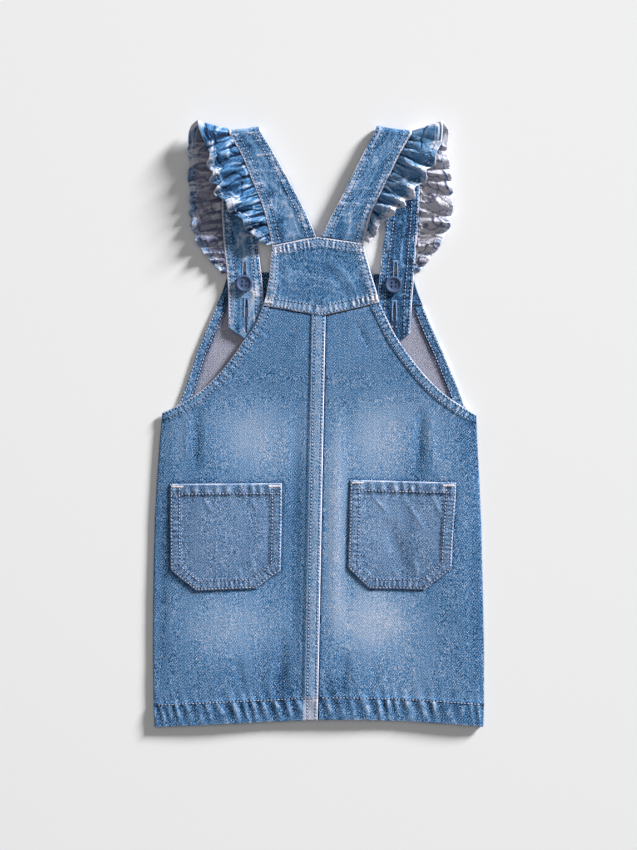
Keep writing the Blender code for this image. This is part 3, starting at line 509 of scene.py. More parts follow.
def measure(plan, line):
    """For each place, how far along a line its nearest point is, and how far off that is."""
    points = plan.reshape(-1, 2)
    travelled = lengths(line)
    best_along = np.zeros(len(points))
    best_off = np.full(len(points), np.inf)
    for number, (start, step) in enumerate(zip(line, np.diff(line, axis=0))):
        size = max(float(np.linalg.norm(step)), 1e-9)
        share = np.clip((points - start) @ step / size ** 2, 0.0, 1.0)
        off = np.linalg.norm(points - start - share[:, None] * step, axis=1)
        closer = off < best_off
        best_off[closer] = off[closer]
        best_along[closer] = travelled[number] + share[closer] * size
    return best_along.reshape(plan.shape[:-1]), best_off.reshape(plan.shape[:-1])


def places_across(length, cell):
    """Shares of a length: close together at both ends, where the edge is round, and a cell
    apart between."""
    edge = np.array(EDGE_PLACES)
    steps = max(round((length - 2 * edge[-1]) / cell), 1)
    middle = np.linspace(edge[-1], length - edge[-1], steps + 1)
    return np.concatenate([edge[:-1], middle, length - edge[-2::-1]]) / length


def offset_line(line, off, centre):
    """A line moved off to the side where the centre lies, without its overlaps."""
    fine = resample(line, np.linspace(0.0, 1.0, max(int(lengths(line)[-1]), 2) + 1))
    run = np.gradient(fine, axis=0)
    run /= np.linalg.norm(run, axis=1)[:, None]
    side = np.stack([-run[:, 1], run[:, 0]], axis=-1)
    middle = len(fine) // 2
    if (np.array(centre) - fine[middle]) @ side[middle] < 0:
        side = -side
    moved = fine + side * off
    clear = measure(moved, line)[1] > off - 0.12
    return moved[clear]


# Panels of cloth

class Cloth:
    """A piece of cloth as a grid: its thickness, its relief and the tone of its colour."""

    def __init__(self, shape, thickness):
        self.thick = np.full(shape, thickness)
        self.relief = np.zeros(shape)
        self.tone = np.full(shape, WASHED)
        self.wrong_above = np.zeros(shape)
        self.wrong_below = np.zeros(shape)
        self.paler_below = 0.0
        self.row_off = np.full(shape, 50.0)
        self.row_along = np.zeros(shape)

    def lay_band(self, along, off, band, seed=0.0):
        """Turns in an edge: thickens it, puckers it, draws in its rows of stitches and paints a
        shadow beside it.
        """
        inside = 1.0 - ease((off - band.width) / STEP)
        self.thick = np.maximum(self.thick, self.thick.min() + band.rise * inside)
        self.tone += band.wear * inside
        self.pucker(along, off, band, seed, inside)
        for row in band.rows:
            self.draw_in(along, off - row)
        self.tone += EDGE_WEAR * bell(off, 0.9) * (0.75 + 0.4 * uneven(along * 4.0, seed + 5.0))
        # painted shadow beside the band
        self.tone += BESIDE_BAND_PAINTED_SHADOW * bell(off - band.width - STEP, 1.2)

    def pucker(self, along, off, band, seed, inside):
        """Uneven puckers across a band. Its rows of stitches hold them down, and they die
        out past the last one."""
        wander = PUCKER_WANDER * uneven(along * 9.4 / band.spacing, seed)
        turns = 2 * np.pi * ((along + band.lean * (off - band.rows[-1])) / band.spacing + wander)
        crest = (0.5 + 0.5 * np.sin(turns)) ** PUCKER_CREST
        trough = (0.5 - 0.5 * np.sin(turns)) ** PUCKER_TROUGH
        size = np.clip(0.85 + 0.55 * uneven(along * 1.7, seed + 2.0), 0.15, 1.5)
        patches = ripples(np.stack([along, off], axis=-1), PATCH_SIZE, seed + 9.0)
        size *= 1.0 + 0.9 * patches
        first = band.rows[0] if len(band.rows) > 1 else 0.0
        last = band.rows[-1]
        place = (off - first) / (last - first)
        if len(band.rows) > 1:
            within = np.sqrt(np.maximum(np.sin(np.pi * np.clip(place, 0.0, 1.0)), 0.0))
        else:
            within = 0.25 + 0.75 * ease(place / 0.7)
        beyond = PUCKER_BEYOND * np.exp(-np.maximum(off - last, 0.0) / band.reach)
        window = size * np.where(off <= last, within, beyond)
        self.relief += band.pucker * (crest - trough) * window
        strength = min(band.pucker / HEM.pucker, 1.0) ** 0.4
        self.tone += strength * window * (PUCKER_WEAR * crest - PUCKER_SHADE * trough)
        self.tone += PATCH_TONE * strength * patches * inside

    def draw_in(self, along, off):
        """The groove of a row of stitches, and where its needle holes are to be found."""
        groove = bell(off, GROOVE)
        self.relief -= GROOVE_DEPTH * groove
        # painted shade in the groove
        self.tone += GROOVE_PAINTED_SHADE * groove
        closer = np.abs(off) < self.row_off
        self.row_off = np.where(closer, np.abs(off), self.row_off)
        self.row_along = np.where(closer, along, self.row_along)

    def looks(self):
        """What the cloth's points carry for its finish, above and below."""
        return {
            "tone": (self.tone, self.tone + self.paler_below),
            "wrong": (self.wrong_above, self.wrong_below),
            "row_off": (self.row_off, self.row_off),
            "row_along": (self.row_along, self.row_along),
        }


def edge_drop(off):
    """How far a rounded edge lies under the cloth's flat side."""
    inward = np.clip(off / EDGE_ROUND, 0.0, 1.0)
    return EDGE_ROUND * (1.0 - np.sqrt(1.0 - (1.0 - inward) ** 2))


class Panel(Cloth):
    """A panel that lies flat, read from its solid: its plan and the height of its underside.
    Rows run from the bottom up, columns from left to right."""

    def __init__(self, node, thickness, cell):
        loop = outline(node)
        places = [nearest_index(loop, corner) for corner in PANEL_CORNERS[node]]
        parts = []
        for start, end in zip(places, places[1:] + places[:1]):
            count = (end - start) % len(loop)
            parts.append(loop[(start + np.arange(count + 1)) % len(loop)])
        self.node = node
        self.bottom, self.right = parts[0], parts[1]
        self.top, self.left = parts[2][::-1], parts[3][::-1]
        self.outline = np.concatenate([loop, loop[:1]])
        self.centre = loop.mean(axis=0)
        across = places_across(max(lengths(self.bottom)[-1], lengths(self.top)[-1]), cell)
        along = places_across(max(lengths(self.left)[-1], lengths(self.right)[-1]), cell)
        self.plan = self.fill(across, along)
        shape = solid_mesh(node)
        tree = BVHTree.FromBMesh(shape)
        shape.free()
        self.low = soften(undersides(tree, self.plan), SMOOTHING)
        super().__init__(self.low.shape, thickness)
        self.edge_off = measure(self.plan, self.outline)[1]

    def fill(self, across, along):
        """The grid between the four sides, straight across where they are."""
        bottom, top = resample(self.bottom, across), resample(self.top, across)
        left, right = resample(self.left, along), resample(self.right, along)
        u, v = across[None, :, None], along[:, None, None]
        corners = ((1 - u) * (1 - v) * bottom[0] + u * (1 - v) * bottom[-1]
                   + (1 - u) * v * top[0] + u * v * top[-1])
        between = ((1 - v) * bottom[None] + v * top[None]
                   + (1 - u) * left[:, None] + u * right[:, None])
        return between - corners

    def lay_edge(self, line, band, seed=0.0):
        self.lay_band(*measure(self.plan, line), band, seed)

    def turned_in(self, line, band):
        """1 on the band along an edge, where the right side is turned in, and 0 elsewhere."""
        return 1.0 - ease((measure(self.plan, line)[1] - band.width) / TURNED_STEP)

    def fade(self, fades_and_shade):
        x, y = self.plan[..., 0], self.plan[..., 1]
        for area in fades_and_shade:
            off = ((x - area.x) / area.wide) ** 2 + ((y - area.y) / area.tall) ** 2
            # paler where washing has faded it; darker, mostly as painted shade, where the strength
            # is under 0
            self.tone += area.strength * np.exp(-off ** FADE_POWER)

    def crease(self, creases):
        for crease in creases:
            line = np.array([(crease.x, crease.y), (crease.end_x, crease.end_y)])
            along, off = measure(self.plan, line)
            taper = np.sin(np.pi * np.clip(along / lengths(line)[-1], 0.0, 1.0)) ** 0.7
            form = bell(off, crease.wide) * taper
            self.relief += crease.height * form * ease(self.edge_off / CREASE_CLEAR)
            # painted shade in a trough, paler along a ridge
            self.tone += CREASE_SHADE_AND_RIDGE_TONE * crease.height / crease.wide * form

    def upper(self):
        """The height of the upper side, rounded down at its edges."""
        return self.low + self.thick + self.relief - edge_drop(self.edge_off)

    def points(self, height):
        return np.concatenate([self.plan, height[..., None]], axis=-1)

    def shell(self, name, material):
        sides = (self.points(self.upper()), self.points(self.low))
        return shell(name, sides, self.looks(), material)


def smooth_rows(rows, at):
    """Rows read between those of a table, on a curve through all of them."""
    rows = np.array(rows, float)
    at = np.clip(at, 0.0, len(rows) - 1.0)
    first = np.minimum(at.astype(int), len(rows) - 2)
    share = (at - first)[:, None]
    before, here = rows[np.maximum(first - 1, 0)], rows[first]
    there, after = rows[first + 1], rows[np.minimum(first + 2, len(rows) - 1)]
    bend = ((2 * before - 5 * here + 4 * there - after)
            + (3 * here - before - 3 * there + after) * share)
    return 0.5 * (2 * here + (there - before) * share + bend * share * share)


def strap_edges(side, along):
    """A strap's outer and inner edges, at the middle of its thickness. along is 0 to 1 up
    the back, 1 to 2 round the fold at the shoulder and 2 to 3 down the front."""
    table = STRAPS[side]
    fold = np.array(table["fold"][:4]).reshape(2, 2)
    way = (fold[1] - fold[0]) / np.linalg.norm(fold[1] - fold[0])
    up = np.array([-way[1], way[0]]) * np.sign(way[0])
    low_z = table["front"][0].z
    turn = (*(fold - up * (FOLD_RADIUS + STRAP_WALL / 2)).ravel(), low_z)
    back = (*table["back"], (*turn[:4], low_z + 2 * FOLD_RADIUS))
    front = (turn, *table["front"])
    up_back = smooth_rows(back, along * (len(back) - 1))
    down_front = smooth_rows(front, (along - 2.0) * (len(front) - 1))
    angle = np.pi * (along - 1.0)
    shift = FOLD_RADIUS * np.sin(angle)[:, None] * up
    round_fold = np.column_stack([np.array(turn[:2]) + shift, np.array(turn[2:4]) + shift,
                                  low_z + FOLD_RADIUS * (1.0 + np.cos(angle))])
    stage = np.clip(along.astype(int), 0, 2)[:, None]
    lines = np.choose(stage, (up_back, round_fold, down_front))
    z = np.maximum(lines[:, 4:], FLOOR_Z)
    return np.hstack([lines[:, :2], z]), np.hstack([lines[:, 2:4], z])


def stations(stretches, cell):
    """Places along a strap or ruffle, about a cell apart, through its stretches. A stretch
    is its start, its end and its length in millimetres."""
    places = [np.linspace(start, end, max(int(length / cell), 4), endpoint=False)
              for start, end, length in stretches]
    return np.concatenate([*places, [stretches[-1][1]]])


def strip_normals(points):
    """The unit normal at each point of a strap or ruffle, on the side that shows on the
    back."""
    normal = np.cross(np.gradient(points, axis=1), np.gradient(points, axis=0))
    normal = normal / np.linalg.norm(normal, axis=2)[..., None]
    return normal * np.sign(normal[:BACK_ROWS, :, 2].mean())


class Strip(Cloth):
    """A strap or a ruffle: a grid of points in the middle of its thickness, whose rows run
    along it and whose columns run across from its outer edge. Its first side is the one
    that shows on the back."""

    def __init__(self, side, points, thickness):
        super().__init__(points.shape[:2], thickness)
        self.side = side
        self.middle = points
        self.normal = strip_normals(points)
        self.across = np.concatenate([np.zeros((len(points), 1)), np.cumsum(
            np.linalg.norm(np.diff(points, axis=1), axis=2), axis=1)], axis=1)
        run = np.linalg.norm(np.diff(points[:, :1], axis=0), axis=2)
        self.along = np.concatenate([[[0.0]], np.cumsum(run, axis=0)]) * np.ones(self.across.shape)

    def sides(self):
        """Both sides of the cloth, neither below the surface it lies on."""
        width = self.across[:, -1:]
        off = np.minimum(np.minimum(self.across, width - self.across),
                         np.minimum(self.along, self.along.max() - self.along))
        half = (self.thick / 2 + self.relief - edge_drop(off) / 2)[..., None]
        layers = []
        for way in (1.0, -1.0):
            layer = self.middle + self.normal * half * way
            layer[..., 2] = np.maximum(layer[..., 2], 0.0)
            layers.append(layer)
        return layers

    def row_at(self, grid, off, from_inner=False):
        """The line of a grid's points at a distance in from its outer or inner edge."""
        line = []
        for offs, points in zip(self.across, grid):
            place = offs[-1] - off if from_inner else off
            line.append([np.interp(place, offs, column) for column in points.T])
        return np.array(line)


def strap_grid(side, cell):
    """The middle of a strap, with its buttonholes' edges drawn in."""
    up, fold, down = STRAP_LENGTHS
    steps = stations(((0.0, 1.0, up), (1.0, 2.0, fold), (2.0, 3.0, down)), cell)
    outer, inner = strap_edges(side, steps)
    width = np.linalg.norm(outer - inner, axis=1).mean()
    shares = places_across(width, cell)
    half = len(shares) // 2
    slot = BUTTONHOLE_GAP / 2 / width
    shares = np.unique(np.concatenate([shares[:half - 1], [0.5 - slot, 0.5 + slot],
                                       shares[len(shares) - half + 1:]]))
    points = outer[:, None] + (inner - outer)[:, None] * shares[None, :, None]
    is_open = open_buttonholes(side, steps, points, shares, width)
    last_rows = 1.0 / len(STRAPS[side]["front"])
    near_end = ease((steps - (3.0 - last_rows)) / last_rows)
    points[..., 1] -= STRAP_POINT * near_end[:, None] * (1.0 - np.abs(2.0 * shares - 1.0))
    return steps, points, is_open


def open_buttonholes(side, steps, points, shares, width):
    """Moves a strap's points to the edges of its buttonholes, and finds the cells that are
    cut away."""
    centre = int(np.searchsorted(shares, 0.5)) - 1
    is_open = np.zeros(points.shape[:2], bool)
    middle_x = points[:, centre:centre + 2, 0].mean(axis=1)
    across = (shares - 0.5) * width
    near = 1.0 - ease(np.abs(across) / (width / 2 - 4.0))
    inward = 1.0 if side == "left" else -1.0
    for hole in BUTTONHOLES[side]:
        reach = (points[:, centre, 1] - hole.y) / (BUTTONHOLE_LENGTH / 2)
        rows = np.flatnonzero((np.abs(reach) <= 1.0) & (steps > 2.0))
        is_open[rows[:-1], centre] = True
        gape = BUTTONHOLE_GAPE * np.cos(np.pi / 2 * np.clip(reach, -1, 1))
        over = (steps > 2.0) * (1.0 - ease((np.abs(reach) - 1.0) / 0.5))
        shift = (hole.x - middle_x) * over
        points[..., 0] += shift[:, None] * near
        points[..., 0] += inward * (gape * over)[:, None] * np.sign(across) * near
    return is_open


def ruffle_waves(side, along, out):
    """A ruffle's waves at a grid of places: their height, their lean along the edge and how
    far the free edge bows out. They are uneven, and each gather at the seam is half a wave."""
    height, lean, bow = (np.zeros((len(along), len(out))) for _ in range(3))
    for stretch in RUFFLE_GATHERS:
        rows = (along >= stretch.start) & (along <= stretch.end)
        place = ((along[rows] - stretch.start) / (stretch.end - stretch.start))[:, None]
        place = np.clip(place, 0.0, 1.0)
        start = RUFFLE_SHIFT[side] + stretch.start
        uneven_place = sum(beat.size * np.sin(beat.rate * place + beat.phase + beat.shift * start)
                           for beat in PLACE_BEATS)
        beat = HEIGHT_BEAT
        swing = np.sin(beat.rate * place + beat.phase + beat.shift * start)
        uneven_height = 1.0 + beat.size * swing
        turns = 2 * np.pi * stretch.waves * (place + uneven_place)
        ends = np.sqrt(np.maximum(np.sin(np.pi * place), 0.0))
        puff = 2.0 * np.abs(np.sin(turns / 2 + np.pi / 4)) ** 0.7 - 1.0
        at_edge = stretch.edge_height * uneven_height * (0.45 * np.sin(turns) + 0.55 * puff)
        at_seam = stretch.seam_height * np.sin(2 * turns + GATHER_PHASE)
        rise = ease(out * RUFFLE_RISE)[None]
        gather = (ease(out / GATHER_IN) * (1.0 - ease((out - GATHER_HOLD) / GATHER_OUT)))[None]
        height[rows] = ends * (at_edge * rise + at_seam * gather)
        lean[rows] = ends * stretch.lean * rise * np.cos(turns)
        bow[rows] = ends * stretch.lobes * np.sin(turns + RUFFLE_LOBE_PHASE) * ease(out)[None]
    return height, lean, bow


# Where each point of a ruffle is, from the seam, and between 0 and 1 its gathers and how far
# they are drawn in, its creases, ridges and fine wrinkles, and whether it is on the back
Folds = namedtuple("Folds", "along off fold drawn_in creased ridged fine in_back")


def ruffle_folds(side, steps, seam, flat):
    """The small folds of a ruffle, at the points where it would lie without them."""
    seed = SEEDS[side]
    off = np.linalg.norm(flat - flat[:, :1], axis=2)
    along = lengths(seam)[:, None] * np.ones(off.shape)
    bent = along + 0.12 * off * ripples(np.stack([along, off], axis=-1), 14.0, 2.0 + seed)
    turns = np.pi * (bent / GATHERS_APART + 0.5 * uneven(bent, seed))
    reach = 13.0 + 7.0 * uneven(along * 1.9, seed + 3.0)
    return Folds(
        along=along,
        off=off,
        fold=np.abs(np.sin(turns)),
        drawn_in=np.exp(-(off / np.maximum(reach, 5.0)) ** 2),
        creased=wrinkles(off, along, (13.0, 8.0), 4.0 + seed, 0.13),
        ridged=wrinkles(off, along + 1.6, (16.0, 7.0), 14.0 + seed, 0.12),
        fine=wrinkles(off, along, (8.0, 6.0), 24.0 + seed, 0.20),
        in_back=(1.0 - ease((steps - 1.0) / 0.5))[:, None],
    )


def ruffle_wear_and_painted_shading(side, folds, height):
    """A ruffle's tone: painted shade and highlights on its gathers, creases and waves, painted
    light and shade for each part, and wear near its free edge.
    """
    # painted shade in gather valleys, at the seam and in creases; pale lines beside valleys;
    # painted highlights on ridges and wave tops
    waved = np.clip(height / np.abs(height).max(), -1.0, 1.0)
    gathered = 0.52 * bell(folds.fold - 0.60, 0.13) - 1.10 * (1.0 - folds.fold) ** 1.8
    wear_and_painted_shading = (folds.drawn_in * gathered - 0.30 * bell(folds.off, 1.8) + 0.24 * waved
             - 0.42 * folds.creased + 0.44 * folds.ridged)
    # stronger on the left ruffle, where the light runs along the folds
    wear_and_painted_shading *= RUFFLE_PAINTED_SHADING[side]
    # painted light on the ruffles' front parts, painted shade in their fine wrinkles
    in_front = FRONT_RUFFLE_PAINTED_LIGHT[side] - FINE_WRINKLE_PAINTED_SHADE[side] * folds.fine
    # painted shade on the left ruffle's back part and painted light on the right one's
    wear_and_painted_shading += RUFFLE_PAINTED_LIGHT_AND_SHADE[side] * folds.in_back + in_front * (1.0 - folds.in_back)
    worn = ease((folds.off - (folds.off[:, -1:] - 9.0)) / 3.0)
    places = np.stack([folds.along, folds.off], axis=-1)
    patches = ripples(places, 11.0, 6.0 + SEEDS[side])
    wear_and_painted_shading += (0.10 + 0.55 * worn) * patches + 0.12 * worn
    return wear_and_painted_shading


def ruffle_grid(side, cell):
    """The middle of a ruffle, from the strap's seam out to its free edge in waves, and its tone:
    painted shade and highlights on its gathers, creases and waves, and wear."""
    rows = np.array(RUFFLE_EDGES[side])
    first, last = rows[0, 0], rows[-1, 0]
    up, fold, down = RUFFLE_LENGTHS
    steps = stations(((first, 1.0, up), (1.0, 2.0, fold), (2.0, last, down)), cell)
    out = places_across(RUFFLE_WIDTH, cell)
    outer, inner = strap_edges(side, steps)
    away = (outer - inner) / np.linalg.norm(outer - inner, axis=1)[:, None]
    seam = outer + away * SEAM_GAP
    at = np.interp(steps, rows[:, 0], np.arange(len(rows)))
    edge = smooth_rows(rows[:, 1:], at)
    height, lean, bow = ruffle_waves(side, steps, out)
    share = out[None] * (1.0 + bow)
    flat = seam[:, None] + (edge - seam)[:, None] * share[..., None]
    flat[..., 2] = (seam[:, None, 2]
                    + (edge - seam)[:, None, 2] * np.sin(np.clip(share, 0.0, 1.0) * np.pi / 2))
    normal = strip_normals(flat)
    run = np.gradient(flat, axis=0)
    run /= np.linalg.norm(run, axis=2)[..., None]
    folds = ruffle_folds(side, steps, seam, flat)
    near = ease(folds.off / 2.0) * folds.drawn_in
    height += (near * GATHER_DEPTH * (folds.fold ** 0.8 - 0.35)
               - folds.creased + 0.7 * folds.ridged)
    height -= 0.8 * folds.fine * (1.0 - folds.in_back)
    points = flat + normal * height[..., None] + run * lean[..., None]
    points[..., 2] = np.maximum(points[..., 2], RUFFLE_WALL / 2)
    return points, ruffle_wear_and_painted_shading(side, folds, height)


def wrinkles(across, along, sizes, seed, wide=0.16):
    """Thin, branching lines between 0 and 1, where smooth noise changes its sign."""
    places = np.stack([across / sizes[0], along / sizes[1], np.zeros(across.shape)], axis=-1)
    level = ripples(places, 1.0, seed)
    return np.maximum(1.0 - np.abs(level) / wide, 0.0) ** 1.5


def soften(grid, passes):
    """A grid of heights, averaged with its neighbours several times."""
    for _ in range(passes):
        for axis in (0, 1):
            grown = np.pad(grid, [(1, 1) if axis == k else (0, 0) for k in (0, 1)], mode="edge")
            size = grid.shape[axis]
            before = np.take(grown, range(size), axis=axis)
            after = np.take(grown, range(2, size + 2), axis=axis)
            grid = (before + 2 * grid + after) / 4
    return grid


def shell(name, sides, looks, material, is_open=None):
    """A closed wall of cloth between two grids of points. looks are the values that its
    points carry, above and below, and is_open is true at the cells that are cut away."""
    rows, columns = sides[0].shape[:2]
    shape = bmesh.new()
    place = shape.verts.layers.int.new("place")
    for key in looks:
        shape.verts.layers.float.new(key)
    bmesh.ops.create_grid(shape, x_segments=columns - 1, y_segments=rows - 1, size=0.5)
    for number, vert in enumerate(shape.verts):
        vert[place] = number
    if is_open is not None:
        gone = [face for face in shape.faces
                if is_open[divmod(min(vert[place] for vert in face.verts), columns)]]
        bmesh.ops.delete(shape, geom=gone, context="FACES")
    grown = bmesh.ops.extrude_face_region(shape, geom=shape.faces[:], use_keep_orig=True)
    above = {item for item in grown["geom"] if isinstance(item, bmesh.types.BMVert)}
    spots = [side.reshape(-1, 3) * MM for side in sides]
    values = [(shape.verts.layers.float[key], [side.ravel() for side in pair])
              for key, pair in looks.items()]
    for vert in shape.verts:
        side, number = int(vert not in above), vert[place]
        vert.co = spots[side][number]
        for layer, pair in values:
            vert[layer] = pair[side][number]
    shape.verts.layers.int.remove(place)
    bmesh.ops.recalc_face_normals(shape, faces=shape.faces[:])
    return as_object(name, shape, [material])


def as_object(name, shape, materials, sharp=50.0):
    mesh = bpy.data.meshes.new(name)
    shape.to_mesh(mesh)
    shape.free()
    for material in materials:
        mesh.materials.append(material)
    mesh.shade_smooth()
    mesh.set_sharp_from_angle(angle=math.radians(sharp))
    piece = bpy.data.objects.new(name, mesh)
    bpy.context.scene.collection.objects.link(piece)
    return piece


def settle(piece, slot, *nodes):
    """Rides a piece on the part's one body and hides the solids that it stands for."""
    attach(piece, "root")
    if nodes:
        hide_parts(*nodes)
    return piece


# Stitches

class Thread:
    """Rows of stitches, gathered up into one mesh."""

    def __init__(self, sizes):
        self.pitch = sizes.stitch_pitch / MM
        self.radius = sizes.thread_width / MM / 2
        self.shape = bmesh.new()

    def stitch(self, row, start, end, up, radius=None):
        """One stitch between two points: a small bead drawn out between its needle holes."""
        radius = radius or self.radius
        along = Vector(end) - Vector(start)
        length = along.length
        along.normalize()
        side = Vector(up).cross(along).normalized()
        rise = along.cross(side)
        turned = Matrix((side * radius, rise * radius * BEAD_HEIGHT, along * length / 2))
        centre = (Vector(start) + Vector(end)) / 2 + rise * radius * BEAD_LIFT
        centre.z = max(centre.z, BEAD_HEIGHT * radius - UNDERSIDE_GAP)
        place = Matrix.Translation(centre) @ turned.transposed().to_4x4()
        bmesh.ops.create_uvsphere(row, u_segments=6, v_segments=5, radius=MM,
                                  matrix=scaled(place))

    def sew(self, points, normals, along):
        """A row of stitches through points on the cloth. along is how far along the row
        each point is, and the needle holes are at whole pitches of it."""
        order = np.argsort(along)
        along, points, normals = along[order], points[order], normals[order]
        first, last = math.ceil(along[0] / self.pitch), math.floor(along[-1] / self.pitch)
        holes = np.arange(first, last) * self.pitch
        gap = STITCH_GAP * self.pitch

        def read(values, at):
            return np.stack([np.interp(at, along, column) for column in values.T], axis=-1)

        row = bmesh.new()
        spots = zip(read(points, holes + gap), read(points, holes + self.pitch - gap),
                    read(normals, holes + self.pitch / 2))
        for start, end, up in spots:
            if np.linalg.norm(end - start) < 1.5 * self.pitch:
                self.stitch(row, start, end, up)
        joined = bpy.data.meshes.new("row")
        row.to_mesh(joined)
        row.free()
        self.shape.from_mesh(joined)
        bpy.data.meshes.remove(joined)

    def across(self, tree, line, outward, reach):
        """Close stitches side by side across a line in the plan, each reaching outward from
        it, as in a bar tack or round a buttonhole."""
        for (x, y), (way_x, way_y) in zip(line, outward):
            ends = []
            for off in reach:
                spot = Vector((x + way_x * off, y + way_y * off))
                hit = tree.ray_cast(Vector((*spot, 100.0)) * MM, Vector((0, 0, -1)))[0]
                ends.append(None if hit is None else (*spot, hit.z / MM))
            if None not in ends and abs(ends[0][2] - ends[1][2]) < 1.0:
                self.stitch(self.shape, *ends, (0.0, 0.0, 1.0))

    def tack(self, tree, start, end):
        """A bar tack from one point of the plan to another."""
        start, end = np.array(start, float), np.array(end, float)
        length = np.linalg.norm(end - start)
        run = (end - start) / length
        line = start + run * np.arange(0.0, length, TACK_PITCH)[:, None]
        outward = np.tile((-run[1], run[0]), (len(line), 1))
        self.across(tree, line, outward, (-TACK_WIDTH / 2, TACK_WIDTH / 2))

    def stitch_arch(self, ends):
        """A strand over a button, from hole to hole."""
        self.stitch(self.shape, *ends, (0.0, 0.0, 1.0), radius=self.radius * 0.4)

    def sew_on(self, tree, edge, off, centre, way=-1):
        """A row of stitches on a panel, off in from an edge, towards its centre. way is -1
        on its upper side and 1 on its underside."""
        line = offset_line(edge, off, centre)
        points, normals, kept = [], [], []
        for (x, y), along in zip(line, measure(line, edge)[0]):
            start = Vector((x * MM, y * MM, -0.1 * way))
            hit, normal, _, _ = tree.ray_cast(start, Vector((0, 0, way)))
            if hit is not None:
                points.append(tuple(hit / MM))
                normals.append(tuple(normal))
                kept.append(along)
        if len(points) > 4:
            self.sew(np.array(points), np.array(normals), np.array(kept))

    def sew_bands(self, tree, rows, centre, way=-1):
        """Every row of stitches of some bands, given as pairs of an edge and its band."""
        for edge, band in rows:
            for off in band.rows:
                self.sew_on(tree, edge, off, centre, way)

    def make(self, name, material):
        return as_object(name, self.shape, [material], sharp=80.0)


def scaled(matrix):
    """A matrix in millimetres as one that places a shape made in metres."""
    placed = matrix.copy()
    placed.translation = placed.translation * MM
    return placed


def tree_of(piece):
    shape = bmesh.new()
    shape.from_mesh(piece.data)
    tree = BVHTree.FromBMesh(shape)
    shape.free()
    return tree


# Materials

NOISE_SHIFT = (0.0, 0.0, 0.4)     # noise is weaker at whole numbers, and the cloth lies at 0


class Nodes:
    """Adds nodes to a material and links them."""

    def __init__(self, name):
        self.material = bpy.data.materials.get(name) or bpy.data.materials.new(name)
        self.material.use_nodes = True
        self.tree = self.material.node_tree
        self.tree.nodes.clear()
        self.shader = self.add("ShaderNodeBsdfPrincipled")
        output = self.add("ShaderNodeOutputMaterial")
        self.link(self.shader.outputs["BSDF"], output.inputs["Surface"])
        self.place = self.add("ShaderNodeTexCoord").outputs["Object"]

    def add(self, kind, **settings):
        node = self.tree.nodes.new(kind)
        for key, value in settings.items():
            setattr(node, key, value)
        return node

    def link(self, source, target):
        self.tree.links.new(source, target)

    def mapped(self, scale, turn=0.0):
        node = self.add("ShaderNodeMapping")
        node.inputs["Location"].default_value = NOISE_SHIFT
        node.inputs["Rotation"].default_value = (0.0, 0.0, turn)
        node.inputs["Scale"].default_value = scale
        self.link(self.place, node.inputs["Vector"])
        return node.outputs["Vector"]

    def noise(self, scale, detail=2.0, turn=0.0, roughness=0.5):
        """Noise between 0 and 1, with features of about 1 / scale metres."""
        node = self.add("ShaderNodeTexNoise")
        node.inputs["Scale"].default_value = 1.0
        node.inputs["Detail"].default_value = detail
        node.inputs["Roughness"].default_value = roughness
        scale = scale if isinstance(scale, tuple) else (scale, scale, scale)
        self.link(self.mapped(scale, turn), node.inputs["Vector"])
        return node.outputs["Fac"]

    def bands(self, pitch, turn):
        """A wave between 0 and 1 in straight bands with a pitch in metres."""
        node = self.add("ShaderNodeTexWave", wave_type="BANDS", bands_direction="X")
        node.inputs["Scale"].default_value = math.pi / 10
        node.inputs["Distortion"].default_value = 0.0
        self.link(self.mapped((1 / pitch, 1 / pitch, 1 / pitch), turn), node.inputs["Vector"])
        return node.outputs["Fac"]

    def math(self, operation, first, second):
        node = self.add("ShaderNodeMath", operation=operation)
        for socket, value in zip(node.inputs, (first, second)):
            if isinstance(value, (int, float)):
                socket.default_value = value
            else:
                self.link(value, socket)
        return node.outputs[0]

    def around(self, value, amount, middle=0.5):
        """A value moved to swing about 0 by an amount."""
        return self.math("MULTIPLY", self.math("SUBTRACT", value, middle), amount)

    def total(self, *values):
        first, *rest = values
        for value in rest:
            first = self.math("ADD", first, value)
        return first

    def attribute(self, name):
        return self.add("ShaderNodeAttribute", attribute_name=name).outputs["Fac"]

    def ramp(self, value, stops):
        node = self.add("ShaderNodeValToRGB")
        elements = node.color_ramp.elements
        while len(elements) < len(stops):
            elements.new(0.5)
        for element, (position, colour) in zip(elements, stops):
            element.position = position
            element.color = (*colour, 1.0)
        self.link(value, node.inputs["Fac"])
        return node.outputs["Color"]

    def mixed(self, share, first, second):
        node = self.add("ShaderNodeMix", data_type="RGBA")
        self.link(share, node.inputs["Factor"])
        coloured = [socket for socket in node.inputs if socket.type == "RGBA"]
        for socket, source in zip(coloured, (first, second)):
            self.link(source, socket)
        return next(socket for socket in node.outputs if socket.type == "RGBA")

    def bump(self, height, distance, strength=1.0):
        node = self.add("ShaderNodeBump")
        node.inputs["Strength"].default_value = strength
        node.inputs["Distance"].default_value = distance
        self.link(height, node.inputs["Height"])
        self.link(node.outputs["Normal"], self.shader.inputs["Normal"])


TWILL_PITCH = 0.0019              # of the weave's slanting ribs, in metres
YARN_PITCH = 0.0011
TWILL_TURN = math.radians(42.0)
HOLE_WIDTH = 0.55                 # half width of a needle hole, in millimetres


